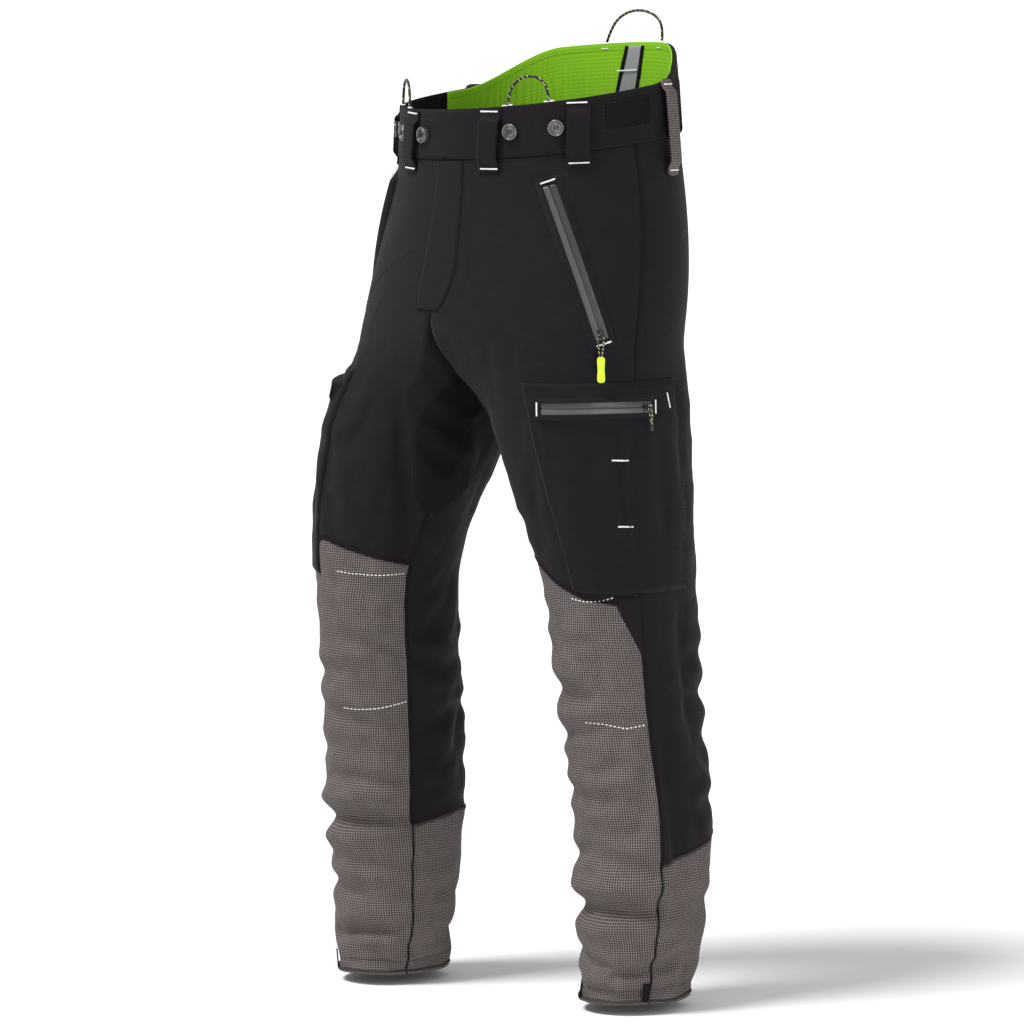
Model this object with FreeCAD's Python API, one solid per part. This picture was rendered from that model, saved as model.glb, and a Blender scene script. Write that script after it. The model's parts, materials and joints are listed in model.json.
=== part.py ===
"""Chainsaw trousers, as worn: a waistband with a raised back, two padded legs and their fastenings.

Millimetres. +Z up, -Y is the wearer's front, +X is the wearer's left. The origin is the centre of the
waist seam, where the wearer's waist holds the garment. Angles run round a section from the front (0)
through the outside of the left leg (+90) to the back (180). For the right leg they are mirrored, so
+90 is always the outer side of that leg.
"""

import math
import os

import FreeCAD
import Part

V = FreeCAD.Vector
os.makedirs("parts", exist_ok=True)

# ---- driving dimensions ---------------------------------------------------------------------------
HEM_Z = -962.0
BAND_TOP = 55.0  # front waistband height above the waist seam
BACK_TOP = 87.0  # height of the raised back before the waist's tilt
WAIST_TILT = 0.1  # the waist rises this much per length from front to back
WAIST_ROLL = 0.045  # and this much towards the wearer's left
CLOTH = 3.0  # shell thickness, two cloths and their seam allowance
SEAM_GAP = 0.4  # air between neighbouring panels
BODY_GAP = 2.0  # air between panels on different bodies

PELVIS_BOTTOM = -216.0
THIGH_BOTTOM = -512.0
KNEE_BOTTOM = -660.0
KNEE_AXIS_Z = -586.0
KNEE_AXIS_BACK = 22.0  # how far the knee bends behind the middle of the leg
ANKLE_TOP = -790.0
SIDE_SEAM = 88.0  # angle of the outer seam
INSEAM = -90.0
LEG_GAP = 1.0  # angle of air between a leg's front and back panels
LEG_TWIST = 20.0  # both legs' seams turn this far towards the wearer's right by the knee

# height, half width, half depth, centre y, squareness
PELVIS = [
    (90.0, 172, 134, 2, 2.1),
    (55.0, 174, 135, 2, 2.1),
    (0.0, 178, 137, 0, 2.2),
    (-56.0, 191, 141, -1, 2.2),
    (-114.0, 202, 145, -8, 2.3),
    (-172.0, 209, 145, -18, 2.4),
    (-222.0, 212, 142, -27, 2.4),
]
# height, centre x, centre y, half width, half depth
LEFT_LEG = [
    (-216.0, 107, -22, 104, 132),
    (-336.0, 124, -17, 100, 117),
    (-460.0, 140, 0, 83, 97),
    (-620.0, 152, 12, 74, 86),
    (-790.0, 161, 25, 73, 84),
    (-962.0, 165, 6, 58, 69),
]
RIGHT_LEG = [
    (-216.0, 107, -36, 104, 132),
    (-350.0, 126, -88, 95, 110),
    (-470.0, 142, -110, 77, 90),
    (-630.0, 153, -94, 74, 86),
    (-790.0, 159, -83, 71, 82),
    (-962.0, 164, -84, 58, 70),
]
PELVIS_FRONT = 137.0
LEGS = {"left": (1, LEFT_LEG), "right": (-1, RIGHT_LEG)}

HAND_ZIP_TOP = (46.0, -32.0)  # angle and height of the pocket zip's ends
HAND_ZIP_END = (72.0, -200.0)
RIGHT_ZIP_RISE = 4.0  # the waist dips to the right, so that zip sits higher to clear the pocket below
CARGO_ZIP_Z = -275.0
CARGO_ZIP_SPAN = (27.0, 90.0)  # angles of the cargo zip's ends


def export(node, shapes):
    """Writes one node, a solid or a group of separate solids."""
    shapes = shapes if isinstance(shapes, list) else [shapes]
    solids = [s for shape in shapes for s in shape.Solids]
    for s in solids:
        if not s.isValid() or s.Volume <= 0:
            raise ValueError(f"{node}: a solid is not sound")
    Part.makeCompound(solids).exportStep(f"parts/{node}.step")
    print(f"{node:26s} {len(solids)} solids, {sum(s.Volume for s in solids) / 1000:9.2f} cm3")


def at_height(table, z):
    """The table's row at height z, with monotone cubic steps between its heights."""
    rows = sorted(table)
    z = min(max(z, rows[0][0]), rows[-1][0])
    i = max(k for k in range(len(rows) - 1) if rows[k][0] <= z)
    (lo, *p), (hi, *q) = rows[i], rows[i + 1]
    before = rows[max(i - 1, 0)]
    after = rows[min(i + 2, len(rows) - 1)]
    span = hi - lo
    t = (z - lo) / span
    out = []
    for k, (u, v) in enumerate(zip(p, q), 1):
        m0 = (v - before[k]) / (hi - before[0]) * span
        m1 = (after[k] - u) / (after[0] - lo) * span
        h = t * t * (3 - 2 * t)
        out.append(u * (1 - h) + v * h + m0 * t * (1 - t) ** 2 - m1 * t * t * (1 - t))
    return out


def power(value, n):
    return math.copysign(abs(value) ** (2 / n), value)


def pelvis_point(angle, z, off=0.0):
    a, b, cy, n = at_height(PELVIS, z)
    t = math.radians(angle)
    x = (a + off) * power(math.sin(t), n)
    y = cy - (b + off) * power(math.cos(t), n)
    rise = WAIST_TILT * (y + PELVIS_FRONT) + WAIST_ROLL * x
    return V(x, y, z + rise * max(1 - z / PELVIS_BOTTOM, 0))


def leg_point(side, angle, z, off=0.0):
    sign, table = LEGS[side]
    cx, cy, a, b = at_height(table, z)
    t = math.radians(angle)
    return V(sign * (cx + (a + off) * math.sin(t)), cy - (b + off) * math.cos(t), z)


def leg_surface(side):
    return lambda angle, z, off=0.0: leg_point(side, angle, z, off)


def seam(side, angle):
    """A seam that starts at an angle under the hips and turns with the leg: its angle at each height."""
    def at(z):
        turned = (PELVIS_BOTTOM - z) / (PELVIS_BOTTOM - THIGH_BOTTOM)
        return angle - LEGS[side][0] * LEG_TWIST * min(max(turned, 0), 1)
    return at


def spread(low, high, count):
    return [low + (high - low) * k / (count - 1) for k in range(count)]


def curve(points):
    spline = Part.BSplineCurve()
    spline.interpolate(points)
    return spline.toShape()


def panel(surface, heights, start, end, inner, outer, points=7):
    """A curved sheet between two angles, lofted through its heights. start and end may depend on height."""
    wires = []
    for z in heights:
        t0 = start(z) if callable(start) else start
        t1 = end(z) if callable(end) else end
        out = [surface(t, z, outer) for t in spread(t0, t1, points)]
        back = [surface(t, z, inner) for t in spread(t1, t0, points)]
        edges = [curve(out), Part.makeLine(out[-1], back[0])]
        edges += [curve(back), Part.makeLine(back[-1], out[0])]
        wires.append(Part.Wire(edges))
    return Part.makeLoft(wires, True, False)


def rod(start, end, radius):
    return Part.makeCylinder(radius, start.distanceToPoint(end), start, end - start)


def frame_at(origin, along, out):
    """A placement with X along a line and Z pointing out of the cloth."""
    x = V(along).normalize()
    z = (out - x * out.dot(x)).normalize()
    return FreeCAD.Placement(origin, FreeCAD.Rotation(x, z.cross(x), z, "XYZ"))


def block(length, width, thick, place, at=(0.0, 0.0, 0.0)):
    """A rounded strip in a placement's own axes, centred on X and Y."""
    corner = V(at[0] - length / 2, at[1] - width / 2, at[2])
    body = Part.makeBox(length, width, thick, corner)
    upright = [e for e in body.Edges if abs(e.tangentAt(e.FirstParameter).z) > 0.9]
    body = body.makeFillet(min(length, width) * 0.24, upright)
    body.Placement = place
    return body


# ---- waistband and its fittings -------------------------------------------------------------------
def back_height(angle):
    """Top edge of the garment at an angle, rising behind the hips."""
    t = min(max((abs(angle) - 100) / 50, 0), 1)
    return BAND_TOP + (BACK_TOP - BAND_TOP) * t * t * (3 - 2 * t)


BAND_SIDE = 112.0  # angle where the plain band meets the elastic back
TAB_ANGLE = 14.0  # how far the closure tab laps past the middle
LOOP_ANGLES = (20.5, 59.5, 150.0)
GEAR_ANGLE = 108.0
STRAP_FOOT = 1.3  # how far off the body a loop's sewn ends lie
BUTTON_ANGLES = (30.0, 50.0, 165.0)
BUTTON_Z = 27.0


def waistband():
    heights = spread(0.5, BAND_TOP, 3)
    export("waistband_left", panel(pelvis_point, heights, 0.3, BAND_SIDE, -CLOTH, 0.6, 9))
    export("waistband_right", panel(pelvis_point, heights, -BAND_SIDE, -0.3, -CLOTH, 0.6, 9))
    tab = panel(pelvis_point, spread(1.5, BAND_TOP - 1, 3), -TAB_ANGLE, -0.3, 1.2, 3.6, 4)
    export("closure_tab", tab)


def raised_back(inner, outer, low, reach):
    """A sheet round the back whose top edge follows back_height."""
    angles = spread(180 - reach, 180 + reach, 11)
    sheets = []
    for off in (outer, inner):
        tops = [back_height(t if t <= 180 else 360 - t) - (outer < 0) for t in angles]
        wires = [
            Part.Wire([curve([pelvis_point(t, low, off) for t in angles])]),
            Part.Wire([curve([pelvis_point(t, top, off) for t, top in zip(angles, tops)])]),
        ]
        sheets.append(Part.makeLoft(wires, False, True))
    faces = [sheets[0].Faces[0], sheets[1].Faces[0]]
    for i in range(4):
        pair = Part.makeRuledSurface(faces[0].Edges[i], faces[1].Edges[i])
        faces += pair.Faces if hasattr(pair, "Faces") else [pair]
    shell = Part.makeShell(faces)
    shell.sewShape()
    solid = Part.Solid(shell if isinstance(shell, Part.Shell) else Part.Shell(shell.Faces))
    return solid if solid.Volume > 0 else solid.reversed()


def stripe_edge(shift):
    """An edge of the webbing inside the back, which leans as it rises."""
    return lambda z: 182 - 9 * z / BACK_TOP + shift


def back_of_waist():
    reach = 180 - BAND_SIDE - 0.5
    export("waistband_back", raised_back(-CLOTH, 0.6, 0.5, reach))
    export("back_lining", raised_back(-CLOTH - 2.2, -CLOTH - 0.3, 1.0, reach))
    heights = spread(3, BACK_TOP - 3, 3)
    stripe = panel(pelvis_point, heights, stripe_edge(-4), stripe_edge(4), -CLOTH - 4.6, -CLOTH - 3.1, 3)
    export("back_stripe", stripe)


def button(place, radius=9.2):
    """A four-hole sew-on button on its thread shank."""
    disc = Part.makeCylinder(radius, 2.6, V(0, 0, 2.2))
    disc = disc.cut(Part.makeCylinder(radius * 0.62, 1.0, V(0, 0, 4.0)))
    for x in (-1.7, 1.7):
        for y in (-1.7, 1.7):
            disc = disc.cut(Part.makeCylinder(0.9, 4, V(x, y, 1.8)))
    shank = Part.makeCylinder(1.6, 2.4, V(0, 0, 0)).cut(disc)
    body = disc.fuse(shank)
    body.Placement = place
    return body


def on_band(angle, z, off):
    """Placement on the waistband, X running round the waist."""
    here = pelvis_point(angle, z, off)
    along = pelvis_point(angle + 1, z, off) - pelvis_point(angle - 1, z, off)
    out = V(along.y, -along.x, 0)
    return frame_at(here, along, out)


def buttons():
    made = [button(on_band(s * t, BUTTON_Z, 0.8)) for t in BUTTON_ANGLES for s in (1, -1)]
    closure = button(on_band(3.4 - TAB_ANGLE, BUTTON_Z, 3.9))
    export("waist_buttons", made + [closure])


def strap(angle, width, low, top, lift, thick=1.8):
    """A sewn loop between two heights: a strip off the cloth, turned in and sewn down at both ends."""
    place, top = upright(angle, low, top, STRAP_FOOT)
    low = 0.0
    end = 9.0
    outline = [
        V(low, 0, 0), V(low + end, 0, 0), V(low + end + 3, 0, lift), V(top - end - 3, 0, lift),
        V(top - end, 0, 0), V(top, 0, 0), V(top, 0, thick), V(top - end + 1, 0, thick),
        V(top - end - 2, 0, lift + thick), V(low + end + 2, 0, lift + thick),
        V(low + end - 1, 0, thick), V(low, 0, thick),
    ]
    face = Part.Face(Part.makePolygon(outline + outline[:1]))
    body = face.extrude(V(0, width, 0))
    body.translate(V(0, -width / 2, 0))
    body.Placement = place
    return body


def upright(angle, low, top, off):
    """Placement with X up the cloth from one height towards another and Z out, and the length between."""
    foot, head = pelvis_point(angle, low, off), pelvis_point(angle, top, off)
    out = on_band(angle, low, off).Rotation.multVec(V(0, 0, 1))
    return frame_at(foot, head - foot, out), (head - foot).Length


def loops():
    belt, gear, strips = [], [], []
    for s in (1, -1):
        for t in LOOP_ANGLES:
            top = BAND_TOP - 1 if t < 100 else BAND_TOP + 6
            belt.append(strap(s * t, 27, -16, top, 5.6))
        gear.append(strap(s * GEAR_ANGLE, 25, -40, 58, 5.6, 2.4))
        strips.append(panel(pelvis_point, spread(15, 47, 3), *sorted((s * 71, s * 96)), 1.0, 2.6, 5))
    export("belt_loops", belt)
    export("gear_loops", gear)
    export("hook_strips", strips)


# ---- cord loops -----------------------------------------------------------------------------------
CORD_RADIUS = 1.7
# how far from foot to foot, how much of the rise
LOOP_TURNS = ((0, 0), (0.04, 0.52), (0.22, 0.93), (0.5, 1.06), (0.78, 0.93), (0.96, 0.52), (1, 0))
BACK_TURNS = ((0, 0), (-0.02, 0.5), (0.13, 0.88), (0.43, 1.06), (0.72, 0.9), (0.91, 0.5), (1, 0))
LOOP_RISE = 30.0
BACK_RISE = 35.0


def rounded_path(points):
    """Straight runs joined by tangent arcs, each as large as its two runs allow."""
    edges, radii = [], []
    start = points[0]
    for a, b, c in zip(points, points[1:], points[2:]):
        u, w = (b - a), (c - b)
        turn = u.getAngle(w)
        cut = 0.45 * min(u.Length, w.Length)
        radii.append(cut / math.tan(turn / 2))
        u.normalize()
        w.normalize()
        enter, leave = b - u * cut, b + w * cut
        middle = b + (w - u).normalize() * (radii[-1] / math.cos(turn / 2) - radii[-1])
        edges += [Part.LineSegment(start, enter).toShape(), Part.Arc(enter, middle, leave).toShape()]
        start = leave
    edges.append(Part.LineSegment(start, points[-1]).toShape())
    return Part.Wire(edges), radii


def cord(points, radius):
    path, radii = rounded_path(points)
    first = points[1] - points[0]
    ring = Part.Wire([Part.makeCircle(radius, points[0], first)])
    body = path.makePipeShell([ring], True, True)
    print(f"  cord {path.Length:.0f} mm, radii {[round(r, 1) for r in radii]}, "
          f"volume share {body.Volume / (math.pi * radius ** 2 * path.Length):.3f}")
    return body


def loop_points(left, right, rise, turns):
    """The route of a cord loop standing between two sewn ends."""
    return [left + (right - left) * s + V(0, 0, rise * h) for s, h in turns]


def cord_loops():
    for side, s in (("left", 1), ("right", -1)):
        feet = [pelvis_point(s * t, BAND_TOP + 0.6, -1.6) for t in (28, 47)]
        export(f"cord_loop_{side}", cord(loop_points(*feet, LOOP_RISE, LOOP_TURNS), CORD_RADIUS))
    feet = [pelvis_point(t, BACK_TOP + 0.8, -0.8) for t in (156, 189)]
    export("cord_loop_back", cord(loop_points(*feet, BACK_RISE, BACK_TURNS), CORD_RADIUS))


# ---- hips, seat, fly ------------------------------------------------------------------------------
def hips():
    heights = spread(-SEAM_GAP, PELVIS_BOTTOM, 6)
    for side, s in (("left", 1), ("right", -1)):
        front = sorted((s * 0.3, s * SIDE_SEAM))
        back = sorted((s * (SIDE_SEAM + 0.4), s * 179.8))
        export(f"hip_panel_{side}", panel(pelvis_point, heights, *front, -CLOTH, 0, 8))
        export(f"seat_panel_{side}", panel(pelvis_point, heights, *back, -CLOTH, 0, 8))
    a, b, cy, _ = at_height(PELVIS, PELVIS_BOTTOM)
    gusset = Part.Ellipse(V(0, 0, 0), b - CLOTH - 1, 17).toShape()
    plate = Part.Face(Part.Wire([gusset])).extrude(V(0, 0, 3))
    plate.Placement = FreeCAD.Placement(V(0, cy, PELVIS_BOTTOM + 1), FreeCAD.Rotation(V(0, 0, 1), 90))
    export("crotch_gusset", plate)


FLY_TOP, FLY_END = -8.0, -172.0
FLY_WIDTH = 8.0  # angle of the flap's free edge
FLY_START = -4.0  # angle of the edge it is sewn down along
FLY_CURVE = -110.0


def fly_edge(z):
    """The flap's free edge, which curves in to the middle below FLY_CURVE."""
    below = max(FLY_CURVE - z, 0) / (FLY_CURVE - FLY_END)
    return FLY_WIDTH - (FLY_WIDTH - 2.5) * below ** 2


def fly():
    flap = panel(pelvis_point, [-2, -60, FLY_CURVE, -145, FLY_END + 2], FLY_START, fly_edge, 1.0, 2.6, 4)
    export("fly_flap", flap)
    front = pelvis_point(0, (FLY_TOP + FLY_END) / 2, -CLOTH - 1.5)
    lean = pelvis_point(0, FLY_TOP, -CLOTH - 1.5) - pelvis_point(0, FLY_END, -CLOTH - 1.5)
    place = frame_at(front, lean, V(0, -1, 0))
    long = lean.Length
    tapes = [block(long, 11, 0.8, place, (0, s * 7.6, -0.4)) for s in (1, -1)]
    teeth = []
    for k in range(int(long / 4)):
        x = -long / 2 + 2 + 4 * k
        tooth = Part.makeBox(2.4, 3.6, 1.2, V(x, -1.8, -0.6))
        tooth.Placement = place
        teeth.append(tooth)
    export("fly_zip", tapes + teeth)
    inside = FreeCAD.Placement(V(long / 2 - 9, 0, 0), FreeCAD.Rotation(V(1, 0, 0), 180))
    slider(place.multiply(inside), "fly_slider")
    report_joint("fly_slider", place.Base, -place.Rotation.multVec(V(1, 0, 0)))


BRIDGE_FOOT = 1.8  # height of the slider's plate
BRIDGE_HOLE = 3.0
BRIDGE_BAR = 1.0


def slider(place, node):
    """A zip slider, X along the teeth and Z away from them: a plate and a bridge for its pull."""
    plate = Part.makeBox(10, 7, BRIDGE_FOOT - 0.6, V(-5, -3.5, 0.6))
    arch = Part.makeBox(5.2, 1.2, BRIDGE_HOLE + BRIDGE_BAR, V(-2.6, -0.6, BRIDGE_FOOT))
    hole = Part.makeBox(3.4, 2, BRIDGE_HOLE, V(-1.7, -1, BRIDGE_FOOT))
    body = plate.fuse(arch.cut(hole))
    body.Placement = place
    export(node, body)


class ZipArc:
    """A zip lying over a round of the body: a circle through its two ends, bowed out as the body is."""

    def __init__(self, surface, closed, open_end, off):
        (t0, z0), (t1, z1) = closed, open_end
        t, z = (t0 + t1) / 2, (z0 + z1) / 2
        closed, open_end = surface(t0, z0, off), surface(t1, z1, off)
        around = surface(t + 1, z) - surface(t - 1, z)
        out = around.cross(surface(t, z + 1) - surface(t, z - 1)).normalize()
        out = out if out.dot(surface(t, z, 1) - surface(t, z)) > 0 else -out
        chord = (closed + open_end) * 0.5
        middle = chord + out * (surface(t, z, off) - chord).dot(out)
        circle = Part.Arc(closed, middle, open_end).toShape().Curve
        self.centre, self.radius = circle.Center, circle.Radius
        self.axis = (middle - closed).cross(open_end - middle).normalize()
        self.start = (closed - self.centre).normalize()
        self.sweep = math.degrees(self.start.getAngle(open_end - self.centre))

    def at(self, length):
        """Placement a length along the zip, X towards its open end and Z away from the body."""
        turn = FreeCAD.Rotation(self.axis, math.degrees(length / self.radius))
        out = turn.multVec(self.start)
        return frame_at(self.centre + out * self.radius, self.axis.cross(out), out)

    def length(self):
        return math.radians(self.sweep) * self.radius

    def band(self, low, high, inner, outer, width, shift=0.0):
        """A strip of the zip between two lengths, its faces at two heights over the circle."""
        first = math.degrees(low / self.radius)
        angle = math.degrees((high - low) / self.radius)
        foot = V(0, 0, shift - width / 2)
        ring = Part.makeCylinder(self.radius + outer, width, foot, V(0, 0, 1), angle)
        ring = ring.cut(Part.makeCylinder(self.radius + inner, width + 2, foot - V(0, 0, 1)))
        out = FreeCAD.Rotation(self.axis, first).multVec(self.start)
        turn = FreeCAD.Rotation(out, self.axis.cross(out), self.axis, "ZXY")
        ring.Placement = FreeCAD.Placement(self.centre, turn)
        return ring


def zip_tape(arc, width, node):
    """Two tape halves that meet over the teeth, with a raised edge along each."""
    end = arc.length()
    halves = [arc.band(0, end, -1.2, -0.2, width / 2 - 0.2, s * (width / 4 + 0.1)) for s in (1, -1)]
    export(node, halves)


# ---- hand pocket zips -----------------------------------------------------------------------------
HAND_TAPE_WIDTH = 20.0
HAND_REST = 9.0  # where the closed slider stands, from the zip's lower end
PULL_CORD = 0.8
TAB_SIZE = (29.0, 9.0, 4.0)
# the pull's route from the bridge: how far to the side, how far down
HAND_PULL = (
    (1.3, 26), (2.2, 18), (3.4, 9), (2.9, 0),
    (-2.9, 0), (-3.4, 9), (-2.2, 18), (-1.3, 26),
)


def hand_arc(s):
    (top, top_z), (low, low_z) = HAND_ZIP_TOP, HAND_ZIP_END
    rise = RIGHT_ZIP_RISE if s < 0 else 0
    return ZipArc(pelvis_point, (s * low, low_z + rise), (s * top, top_z + rise), 4.4)


def hand_pull(head, where):
    """A cord through the bridge, both ends moulded into a tab that hangs below it."""
    start = head.multVec(V(0, 0, BRIDGE_FOOT + BRIDGE_HOLE / 2))
    out = head.Rotation.multVec(V(0, 0, 1))
    side = out.cross(V(0, 0, -1)).normalize()
    hang = side.cross(out).normalize()
    route = [start + side * y + hang * x for y, x in HAND_PULL]
    export(f"hand_pull_cord_{where}", cord(route, PULL_CORD))
    long, wide, thick = TAB_SIZE
    place = frame_at(start + hang * (26.2 + long / 2) + out * 1.1, hang, out)
    export(f"hand_pull_tab_{where}", block(long, wide, thick, place, (0, 0, -thick / 2)))
    report_joint(f"hand_pull_{where}", start, -side)


def hand_pockets():
    bags = []
    for side, s in (("left", 1), ("right", -1)):
        arc = hand_arc(s)
        zip_tape(arc, HAND_TAPE_WIDTH, f"hand_zip_{side}")
        head = arc.at(HAND_REST)
        slider(head, f"hand_slider_{side}")
        hand_pull(head, side)
        report_joint(f"hand_slider_{side}", arc.centre, arc.axis)
        span = sorted((s * 20, s * 66))
        bags.append(panel(pelvis_point, spread(-60, -205, 4), *span, -CLOTH - 6, -CLOTH - 3, 5))
    export("hand_pocket_bags", bags)


def report_joint(name, pos, axis):
    print(f"joint {name}: pos {[round(c, 2) for c in pos]} axis {[round(c, 5) for c in axis]}")


# ---- legs -----------------------------------------------------------------------------------------
PAD_SPAN = (-78.0, 100.0)  # angles of the saw pad's edges
PAD_END = -915.0


def leg_panels(side):
    surface = leg_surface(side)
    front = (seam(side, INSEAM), seam(side, SIDE_SEAM))
    back = (seam(side, SIDE_SEAM + LEG_GAP), seam(side, 360 + INSEAM - LEG_GAP))
    thigh = spread(PELVIS_BOTTOM - SEAM_GAP, THIGH_BOTTOM, 5)
    knee = spread(THIGH_BOTTOM - BODY_GAP, KNEE_BOTTOM, 4)
    calf = spread(KNEE_BOTTOM - BODY_GAP, ANKLE_TOP, 3)
    ankle = spread(ANKLE_TOP - SEAM_GAP, HEM_Z, 3)
    made = {
        "thigh_front": (thigh, front),
        "thigh_back": (thigh, back),
        "knee_front": (knee, front),
        "knee_back": (knee, back),
        "shin_front": (calf + ankle[1:], front),
        "calf_back": (calf, back),
        "ankle_back": (ankle, back),
    }
    for name, (heights, span) in made.items():
        export(f"{name}_{side}", panel(surface, heights, *span, -CLOTH, 0, 9))
    for name, heights in (("thigh", thigh), ("knee", knee), ("shin", calf + ankle[1:])):
        pad = panel(surface, heights, *PAD_SPAN, -CLOTH - 6, -CLOTH - 1, 8)
        above = Part.makeBox(900, 900, 900, V(-450, -450, PAD_END))
        export(f"saw_pad_{name}_{side}", pad.common(above) if heights[-1] < PAD_END else pad)
    cx, cy, _, _ = at_height(LEGS[side][1], KNEE_AXIS_Z)
    report_joint(f"knee_{side}", V(LEGS[side][0] * cx, cy + KNEE_AXIS_BACK, KNEE_AXIS_Z), V(1, 0, 0))


# ---- cargo pockets --------------------------------------------------------------------------------
CARGO_TOP, CARGO_LOW = -246.0, -486.0
CARGO_FRONT, CARGO_BACK = 16.0, 113.0
CARGO_REST = 9.0  # where the closed slider stands, from the zip's back end
# the pull's route from the bar: how far down, how far out
CARGO_PULL = (
    (19, 1.3), (10.5, 0.4), (2.5, -2.5), (-2.5, -2.4),
    (-2.5, 2.5), (2.5, 3.0), (10.5, 4.2), (19, 3.0),
)


def cargo_pull(head, side):
    """A cord round the bridge's bar, both ends in a small moulded cap."""
    bar = head.multVec(V(0, 0, BRIDGE_FOOT + BRIDGE_HOLE + BRIDGE_BAR / 2))
    out = head.Rotation.multVec(V(0, 0, 1))
    across = head.Rotation.multVec(V(0, 1, 0))
    hang = -across if across.z > 0 else across
    route = [bar + hang * x + out * z for x, z in CARGO_PULL]
    export(f"cargo_pull_cord_{side}", cord(route, PULL_CORD))
    cap = rod(bar + hang * 19.2 + out * 2.15, bar + hang * 27 + out * 2.15, 2.4)
    export(f"cargo_pull_end_{side}", cap)
    report_joint(f"cargo_pull_{side}", bar, hang.cross(out))


def cargo_pocket(side):
    surface = leg_surface(side)
    bag = panel(surface, spread(CARGO_TOP, CARGO_LOW, 5), CARGO_FRONT, CARGO_BACK, 1.0, 4.5, 8)
    export(f"cargo_pocket_{side}", bag)
    front, back = CARGO_ZIP_SPAN
    arc = ZipArc(surface, (back, CARGO_ZIP_Z), (front, CARGO_ZIP_Z), 7.2)
    zip_tape(arc, 17.0, f"cargo_zip_{side}")
    head = arc.at(CARGO_REST)
    slider(head, f"cargo_slider_{side}")
    report_joint(f"cargo_slider_{side}", arc.centre, arc.axis)
    cargo_pull(head, side)


waistband()
back_of_waist()
buttons()
loops()
cord_loops()
hips()
fly()
hand_pockets()
for each_side in LEGS:
    leg_panels(each_side)
    cargo_pocket(each_side)
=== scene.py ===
import json
import math

import bpy
import numpy as np
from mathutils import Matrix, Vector
from mathutils.bvhtree import BVHTree


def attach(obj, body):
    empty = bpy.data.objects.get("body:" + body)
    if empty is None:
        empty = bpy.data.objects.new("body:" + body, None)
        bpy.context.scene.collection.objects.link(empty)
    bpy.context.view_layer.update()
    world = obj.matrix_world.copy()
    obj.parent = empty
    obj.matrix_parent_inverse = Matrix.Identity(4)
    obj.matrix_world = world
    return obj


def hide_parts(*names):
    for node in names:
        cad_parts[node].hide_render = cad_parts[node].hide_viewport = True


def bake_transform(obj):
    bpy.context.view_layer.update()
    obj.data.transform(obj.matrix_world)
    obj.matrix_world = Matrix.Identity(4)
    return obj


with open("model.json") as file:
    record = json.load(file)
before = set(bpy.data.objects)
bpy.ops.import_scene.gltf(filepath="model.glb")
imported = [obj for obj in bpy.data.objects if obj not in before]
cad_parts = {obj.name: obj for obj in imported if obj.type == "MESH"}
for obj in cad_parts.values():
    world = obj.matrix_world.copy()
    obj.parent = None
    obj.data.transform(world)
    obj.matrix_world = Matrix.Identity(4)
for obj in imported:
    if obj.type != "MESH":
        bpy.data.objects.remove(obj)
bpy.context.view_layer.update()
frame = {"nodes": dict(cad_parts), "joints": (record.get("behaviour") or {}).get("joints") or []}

rng = np.random.default_rng(7)
NODES = frame["nodes"]
JOINTS = {j["name"]: j for j in frame["joints"]}
SIDES = {"left": 1, "right": -1}
Z = np.array((0.0, 0.0, 1.0))


# ---- camera ---------------------------------------------------------------------------------------
def place_camera():
    """Three-quarter view from the front left of the wearer, far off through a long lens."""
    azimuth, elevation, distance = math.radians(50), math.radians(6.5), 8.0
    data = bpy.data.cameras.new("camera")
    data.lens, data.sensor_width = 242.5, 36
    camera = bpy.data.objects.new("camera", data)
    bpy.context.scene.collection.objects.link(camera)
    away = Vector((math.sin(azimuth) * math.cos(elevation),
                   -math.cos(azimuth) * math.cos(elevation), math.sin(elevation)))
    aim = Vector((-0.0194, -0.0231, -0.416))
    camera.location = aim + away * distance
    camera.rotation_mode = "QUATERNION"
    camera.rotation_quaternion = (-away).to_track_quat("-Z", "Y")
    bpy.context.scene.camera = camera


place_camera()


# ---- materials ------------------------------------------------------------------------------------
class Nodes:
    """A short way to write a node tree."""

    def __init__(self, material):
        material.use_nodes = True
        self.tree = material.node_tree
        self.tree.nodes.clear()

    def add(self, kind, inputs=(), **settings):
        node = self.tree.nodes.new("ShaderNode" + kind)
        for key, value in settings.items():
            setattr(node, key, value)
        for key, value in dict(inputs).items():
            if isinstance(value, bpy.types.NodeSocket):
                self.tree.links.new(value, node.inputs[key])
            else:
                node.inputs[key].default_value = value
        return node

    def math(self, operation, a, b=0.0, c=0.0):
        return self.add("Math", {0: a, 1: b, 2: c}, operation=operation).outputs[0]

    def mix(self, factor, a, b):
        node = self.add("Mix", {0: factor, 6: a, 7: b}, data_type="RGBA")
        return node.outputs[2]

    def noise(self, vector, scale, detail=2.0):
        inputs = {"Vector": vector, "Scale": scale, "Detail": detail}
        return self.add("TexNoise", inputs).outputs["Fac"]

    def finish(self, colour, roughness, height=None, bump=0.3, distance=0.0004, **constants):
        inputs = {"Base Color": colour, "Roughness": roughness}
        if height is not None:
            lump = self.add("Bump", {"Height": height, "Strength": bump, "Distance": distance})
            inputs["Normal"] = lump.outputs[0]
        names = {"sheen": "Sheen Weight", "metal": "Metallic", "coat": "Coat Weight",
                 "coat_rough": "Coat Roughness", "specular": "Specular IOR Level"}
        inputs.update({names[k]: v for k, v in constants.items()})
        shader = self.add("BsdfPrincipled", inputs)
        self.add("OutputMaterial", {"Surface": shader.outputs[0]})


def rgba(r, g, b):
    return (r, g, b, 1.0)


def cloth_uv(n):
    """The cloth's own coordinates, in metres along the weft and the warp."""
    uv = n.add("UVMap", uv_map="cloth").outputs[0]
    split = n.add("SeparateXYZ", {0: uv})
    return uv, split.outputs[0], split.outputs[1]


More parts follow.
